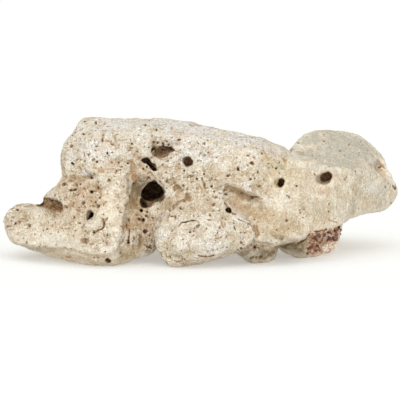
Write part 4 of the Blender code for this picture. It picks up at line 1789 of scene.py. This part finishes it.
    def lay_map(self) -> None:
        """Lays out the stone's own map: six straight views of it, each in its own field."""
        mesh = self.piece.data
        corners = np.empty(len(mesh.loops), np.int64)
        mesh.loops.foreach_get("vertex_index", corners)
        relief = Relief(self.piece)
        facing = self.smoothed(relief.outward, self.MAP_PASSES)
        facing = facing[corners].reshape(-1, 3, 3).sum(1)
        axis = np.abs(facing).argmax(1)
        behind = np.take_along_axis(facing, axis[:, None], 1)[:, 0] > 0.0
        low = relief.points.min(0)
        places = (relief.points - low)[corners].reshape(-1, 3, 3)
        spread = np.empty((len(places), 3, 2))
        for view in MAP_FIELDS:
            here = (axis == view.axis) & (behind == view.behind)
            spread[here] = places[here][:, :, view.shown] + np.array(view.corner)
        layer = mesh.uv_layers.new(name="OFBake")
        layer.data.foreach_set("uv", (spread / MAP_SIZE).astype(np.float32).ravel())

    def smoothed(self, rows: np.ndarray, passes: int) -> np.ndarray:
        """Moves each point's row towards the middle of its neighbours' rows, again and again.

        Args:
            rows: A row of x, y, z for each of the stone's points.
            passes: How many times.

        Returns:
            The smoothed rows.
        """
        mesh = self.piece.data
        edges = np.empty((len(mesh.edges), 2), np.int64)
        mesh.edges.foreach_get("vertices", edges.ravel())
        rows = rows.astype(np.float64)
        count = np.bincount(edges.ravel(), minlength=len(rows))[:, None]
        for _ in range(passes):
            total = np.zeros_like(rows)
            for axis in range(3):
                total[:, axis] += np.bincount(edges[:, 0], rows[edges[:, 1], axis], len(rows))
                total[:, axis] += np.bincount(edges[:, 1], rows[edges[:, 0], axis], len(rows))
            rows = 0.5 * rows + 0.5 * total / np.maximum(count, 1)
        return rows

    @staticmethod
    def blend(stain: np.ndarray, here: np.ndarray, tint: Tint, share: np.ndarray) -> None:
        """Lays a tint, a stain and painted shade alike, over those already there.

        Args:
            stain: Rows of red, green, blue and cover, which change.
            here: The rows to change.
            tint: The colour to lay on.
            share: How much of it, for each of them.
        """
        before = stain[here]
        cover = share + before[:, 3] * (1.0 - share)
        weight = (share / np.maximum(cover, 1e-6))[:, None]
        colour = before[:, :3] * (1.0 - weight) + np.array(tint.value) * weight
        stain[here] = np.concatenate((colour, cover[:, None]), 1)


@dataclass(frozen=True)
class CrystalPatch:
    """A patch that crystals grow on.

    Attributes:
        outline: Its outline in the photograph.
        count: How many crystals it holds.
        darkest: The darkest crystal's tone, from 0 to 1.
        palest: The palest crystal's tone.
    """

    outline: Outline
    count: int
    darkest: float
    palest: float


@dataclass
class CalciteCrust:
    """The crust of brown calcite crystals on the rear foot.

    Attributes:
        stone: The stone that carries it.
        finish: The crystals' finish.
        patches: Where they grow.
        largest: The largest crystal's size in millimetres.
        seed: What the crystals are drawn from.
        piece: The crust's object.
    """

    # How many places are tried for each crystal, how their sizes and leans vary, and how deep they sit.
    TRIES, SIZES, LEAN, ROOT = 8, (0.55, 1.0), 0.5, 0.1

    # A crystal of size 1: its prism, the slope of its shoulder, and where its tip lies over that.
    RADIUS, HEIGHT, SHOULDER = 0.42, 0.8, (0.8, 0.95, 1.0)
    TIP, TIP_SHARE = Vector((0.05, 0.0, 0.22)), (0.35, 0.5, 1.0)

    stone: bpy.types.Object
    finish: CalciteFinish = CalciteFinish()
    patches: tuple[CrystalPatch, ...] = (
        CrystalPatch(((307, 242), (308, 237), (312, 234), (318, 232.4), (325.6, 231), (323.4, 237),
                      (321, 243), (320, 250), (314, 254), (309, 252), (308, 247)), 95, 0.0, 0.72),
        CrystalPatch(((326.6, 232), (331, 228.6), (336, 227), (341.4, 225.6), (341.2, 233),
                      (337.4, 238.6), (333, 243), (328, 241), (325.4, 237)), 70, 0.0, 0.74),
        CrystalPatch(((324.4, 241), (329, 242), (334, 242), (337.6, 239.6), (336, 247), (330, 252.4),
                      (321, 254.4), (320.6, 247)), 55, 0.45, 1.0),
    )
    largest: float = 3.4
    seed: int = 41
    piece: bpy.types.Object = field(init=False)

    def crystal(self) -> tuple[np.ndarray, list[tuple[int, ...]]]:
        """Models one stubby six-sided crystal with a slanted tip.

        Returns:
            Its points, about 1 high and 0.8 wide, and its faces.
        """
        bpy.ops.object.select_all(action="DESELECT")
        bpy.ops.mesh.primitive_cylinder_add(vertices=6, radius=self.RADIUS, depth=self.HEIGHT)
        crystal = bpy.context.active_object
        bpy.ops.object.mode_set(mode="EDIT")
        bpy.ops.mesh.select_mode(type="FACE")
        bpy.ops.mesh.select_all(action="DESELECT")
        bpy.ops.object.mode_set(mode="OBJECT")
        for face in crystal.data.polygons:
            face.select = face.normal.z > 0.5
        bpy.ops.object.mode_set(mode="EDIT")
        top = Vector((0.0, 0.0, self.HEIGHT / 2))
        bpy.ops.transform.resize(value=self.SHOULDER, center_override=top)
        bpy.ops.mesh.extrude_region_move(TRANSFORM_OT_translate={"value": self.TIP})
        bpy.ops.transform.resize(value=self.TIP_SHARE, center_override=top + self.TIP)
        bpy.ops.object.mode_set(mode="OBJECT")
        points = np.array([tuple(vertex.co) for vertex in crystal.data.vertices])
        faces = [tuple(face.vertices) for face in crystal.data.polygons]
        bpy.data.objects.remove(crystal)
        return points, faces

    def build(self) -> bpy.types.Object:
        """Builds and dresses the crust.

        Returns:
            The finished piece.
        """
        dice = np.random.default_rng(self.seed)
        shape, shape_faces = self.crystal()
        points: list[np.ndarray] = []
        faces: list[tuple[int, ...]] = []
        lots: list[float] = []
        for patch in self.patches:
            low, high = np.min(patch.outline, 0), np.max(patch.outline, 0)
            pixels = dice.uniform(low, high, (self.TRIES * patch.count, 2))
            pixels = pixels[depth_inside(patch.outline, pixels) > 0.0][:patch.count]
            for pixel in pixels:
                found = SIGHT.glance(self.stone, tuple(pixel))
                if found is None:
                    continue
                point, outward = found
                size = self.largest * dice.uniform(*self.SIZES) * MM
                way = outward + Vector(dice.normal(0.0, self.LEAN, 3))
                stand = way.to_track_quat("Z", "X").to_matrix()
                spin = Matrix.Rotation(dice.random() * math.tau, 3, "Z")
                turned = shape @ np.array((stand @ spin).transposed()) * size
                start = len(points) * len(shape)
                points.append(turned + np.array(point - outward * self.ROOT * size))
                faces.extend(tuple(start + corner for corner in face) for face in shape_faces)
                lots.extend([dice.uniform(patch.darkest, patch.palest)] * len(shape))
        mesh = bpy.data.meshes.new("calcite_crust")
        mesh.from_pydata(np.concatenate(points).tolist(), [], faces)
        attribute = mesh.attributes.new("lot", "FLOAT", "POINT")
        attribute.data.foreach_set("value", lots)
        mesh.materials.append(self.finish.material())
        self.piece = bpy.data.objects.new("calcite_crust", mesh)
        bpy.context.scene.collection.objects.link(self.piece)
        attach(self.piece, "root")
        return self.piece


@dataclass(frozen=True)
class Lamp:
    """A far, broad lamp.

    Attributes:
        name: What it is.
        power: How bright it is.
        shines_from: The direction that its light comes from.
        spread: How soft it is, as the angle that it shines from.
        on_table: Whether it lights the table, or else the stone.
    """

    name: str
    power: float
    shines_from: tuple[float, float, float]
    spread: float
    on_table: bool = False


@dataclass
class Studio:
    """The white table, the soft lights and the camera.

    Attributes:
        stone: The stone's pieces, which have lamps of their own.
        floor_size: The table's width, so wide that its end shows in no view.
        backdrop: How bright the room looks in the picture.
        sky: How bright the white room is.
        lamps: The far, broad lamps.
        sensor: The camera's sensor width in millimetres.
        nearest: How close to the camera things still show.
        floor: The table's object.
    """

    stone: tuple[bpy.types.Object, ...]
    floor_size: float = 200.0
    backdrop: float = 1.05
    sky: float = 0.62
    lamps: tuple[Lamp, ...] = (
        Lamp("key_light", 2.46, (-0.40, -0.78, 1.3), math.radians(36.0)),
        Lamp("front_fill", 1.1, (0.2, -1.0, 0.15), math.radians(80.0)),
        Lamp("reflector", 0.45, (0.1, -1.0, -0.4), math.radians(60.0)),
        Lamp("table_light", 0.58, (0.0, 0.15, 1.0), math.radians(80.0), on_table=True),
    )
    sensor: float = 36.0
    nearest: float = 0.01
    floor: bpy.types.Object = field(init=False)

    def build(self) -> None:
        """Builds the studio."""
        self.lay_floor()
        self.light_room()
        self.hang_lamps()
        self.place_camera()

    def lay_floor(self) -> None:
        """Lays the table under the stone."""
        bpy.ops.object.select_all(action="DESELECT")
        bpy.ops.mesh.primitive_plane_add(size=self.floor_size)
        self.floor = bpy.context.active_object
        self.floor.name = "table_top"
        self.floor.data.materials.append(FloorFinish().material())

    def light_room(self) -> None:
        """Lights the room evenly, behind a white backdrop, and shows colours as they are."""
        world = bpy.data.worlds.new("white_room")
        world.use_nodes = True
        nodes = world.node_tree.nodes
        seen = nodes.new("ShaderNodeLightPath")
        strength = nodes.new("ShaderNodeMix")
        strength.inputs["A"].default_value = self.sky
        strength.inputs["B"].default_value = self.backdrop
        nodes["Background"].inputs["Color"].default_value = (1.0, 1.0, 1.0, 1.0)
        world.node_tree.links.new(seen.outputs["Is Camera Ray"], strength.inputs["Factor"])
        world.node_tree.links.new(strength.outputs["Result"], nodes["Background"].inputs["Strength"])
        bpy.context.scene.world = world
        bpy.context.scene.view_settings.view_transform = "Standard"

    def hang_lamps(self) -> None:
        """Hangs the broad lamps, each over what it lights. Only the stone casts shadows."""
        shading = bpy.data.collections.new("shading")
        for piece in self.stone:
            shading.objects.link(piece)
        for lamp in self.lamps:
            light = bpy.data.lights.new(lamp.name, "SUN")
            light.energy = lamp.power
            light.angle = lamp.spread
            stand = bpy.data.objects.new(lamp.name, light)
            stand.rotation_euler = (-Vector(lamp.shines_from)).to_track_quat("-Z", "Y").to_euler()
            bpy.context.scene.collection.objects.link(stand)
            lit = bpy.data.collections.new("lit_by_" + lamp.name)
            for piece in (self.floor,) if lamp.on_table else self.stone:
                lit.objects.link(piece)
            stand.light_linking.receiver_collection = lit
            stand.light_linking.blocker_collection = shading

    def place_camera(self) -> None:
        """Places the camera where the photograph was taken."""
        camera = bpy.data.cameras.new("camera")
        camera.sensor_width = self.sensor
        camera.lens = self.sensor * SIGHT.distance / SIGHT.frame_width
        camera.clip_start = self.nearest
        stand = bpy.data.objects.new("camera", camera)
        stand.location = SIGHT.eye
        stand.rotation_euler = SIGHT.forward.to_track_quat("-Z", "Y").to_euler()
        bpy.context.scene.collection.objects.link(stand)
        bpy.context.scene.camera = stand


def main() -> None:
    """Builds the stone, its crystals and the studio."""
    logging.basicConfig(level=logging.INFO, format="%(message)s")
    stone = Limestone().build()
    log.info("%s: %d faces", stone.name, len(stone.data.polygons))
    crust = CalciteCrust(stone).build()
    log.info("%s: %d faces", crust.name, len(crust.data.polygons))
    Studio(stone=(stone, crust)).build()


if __name__ == "__main__":
    main()
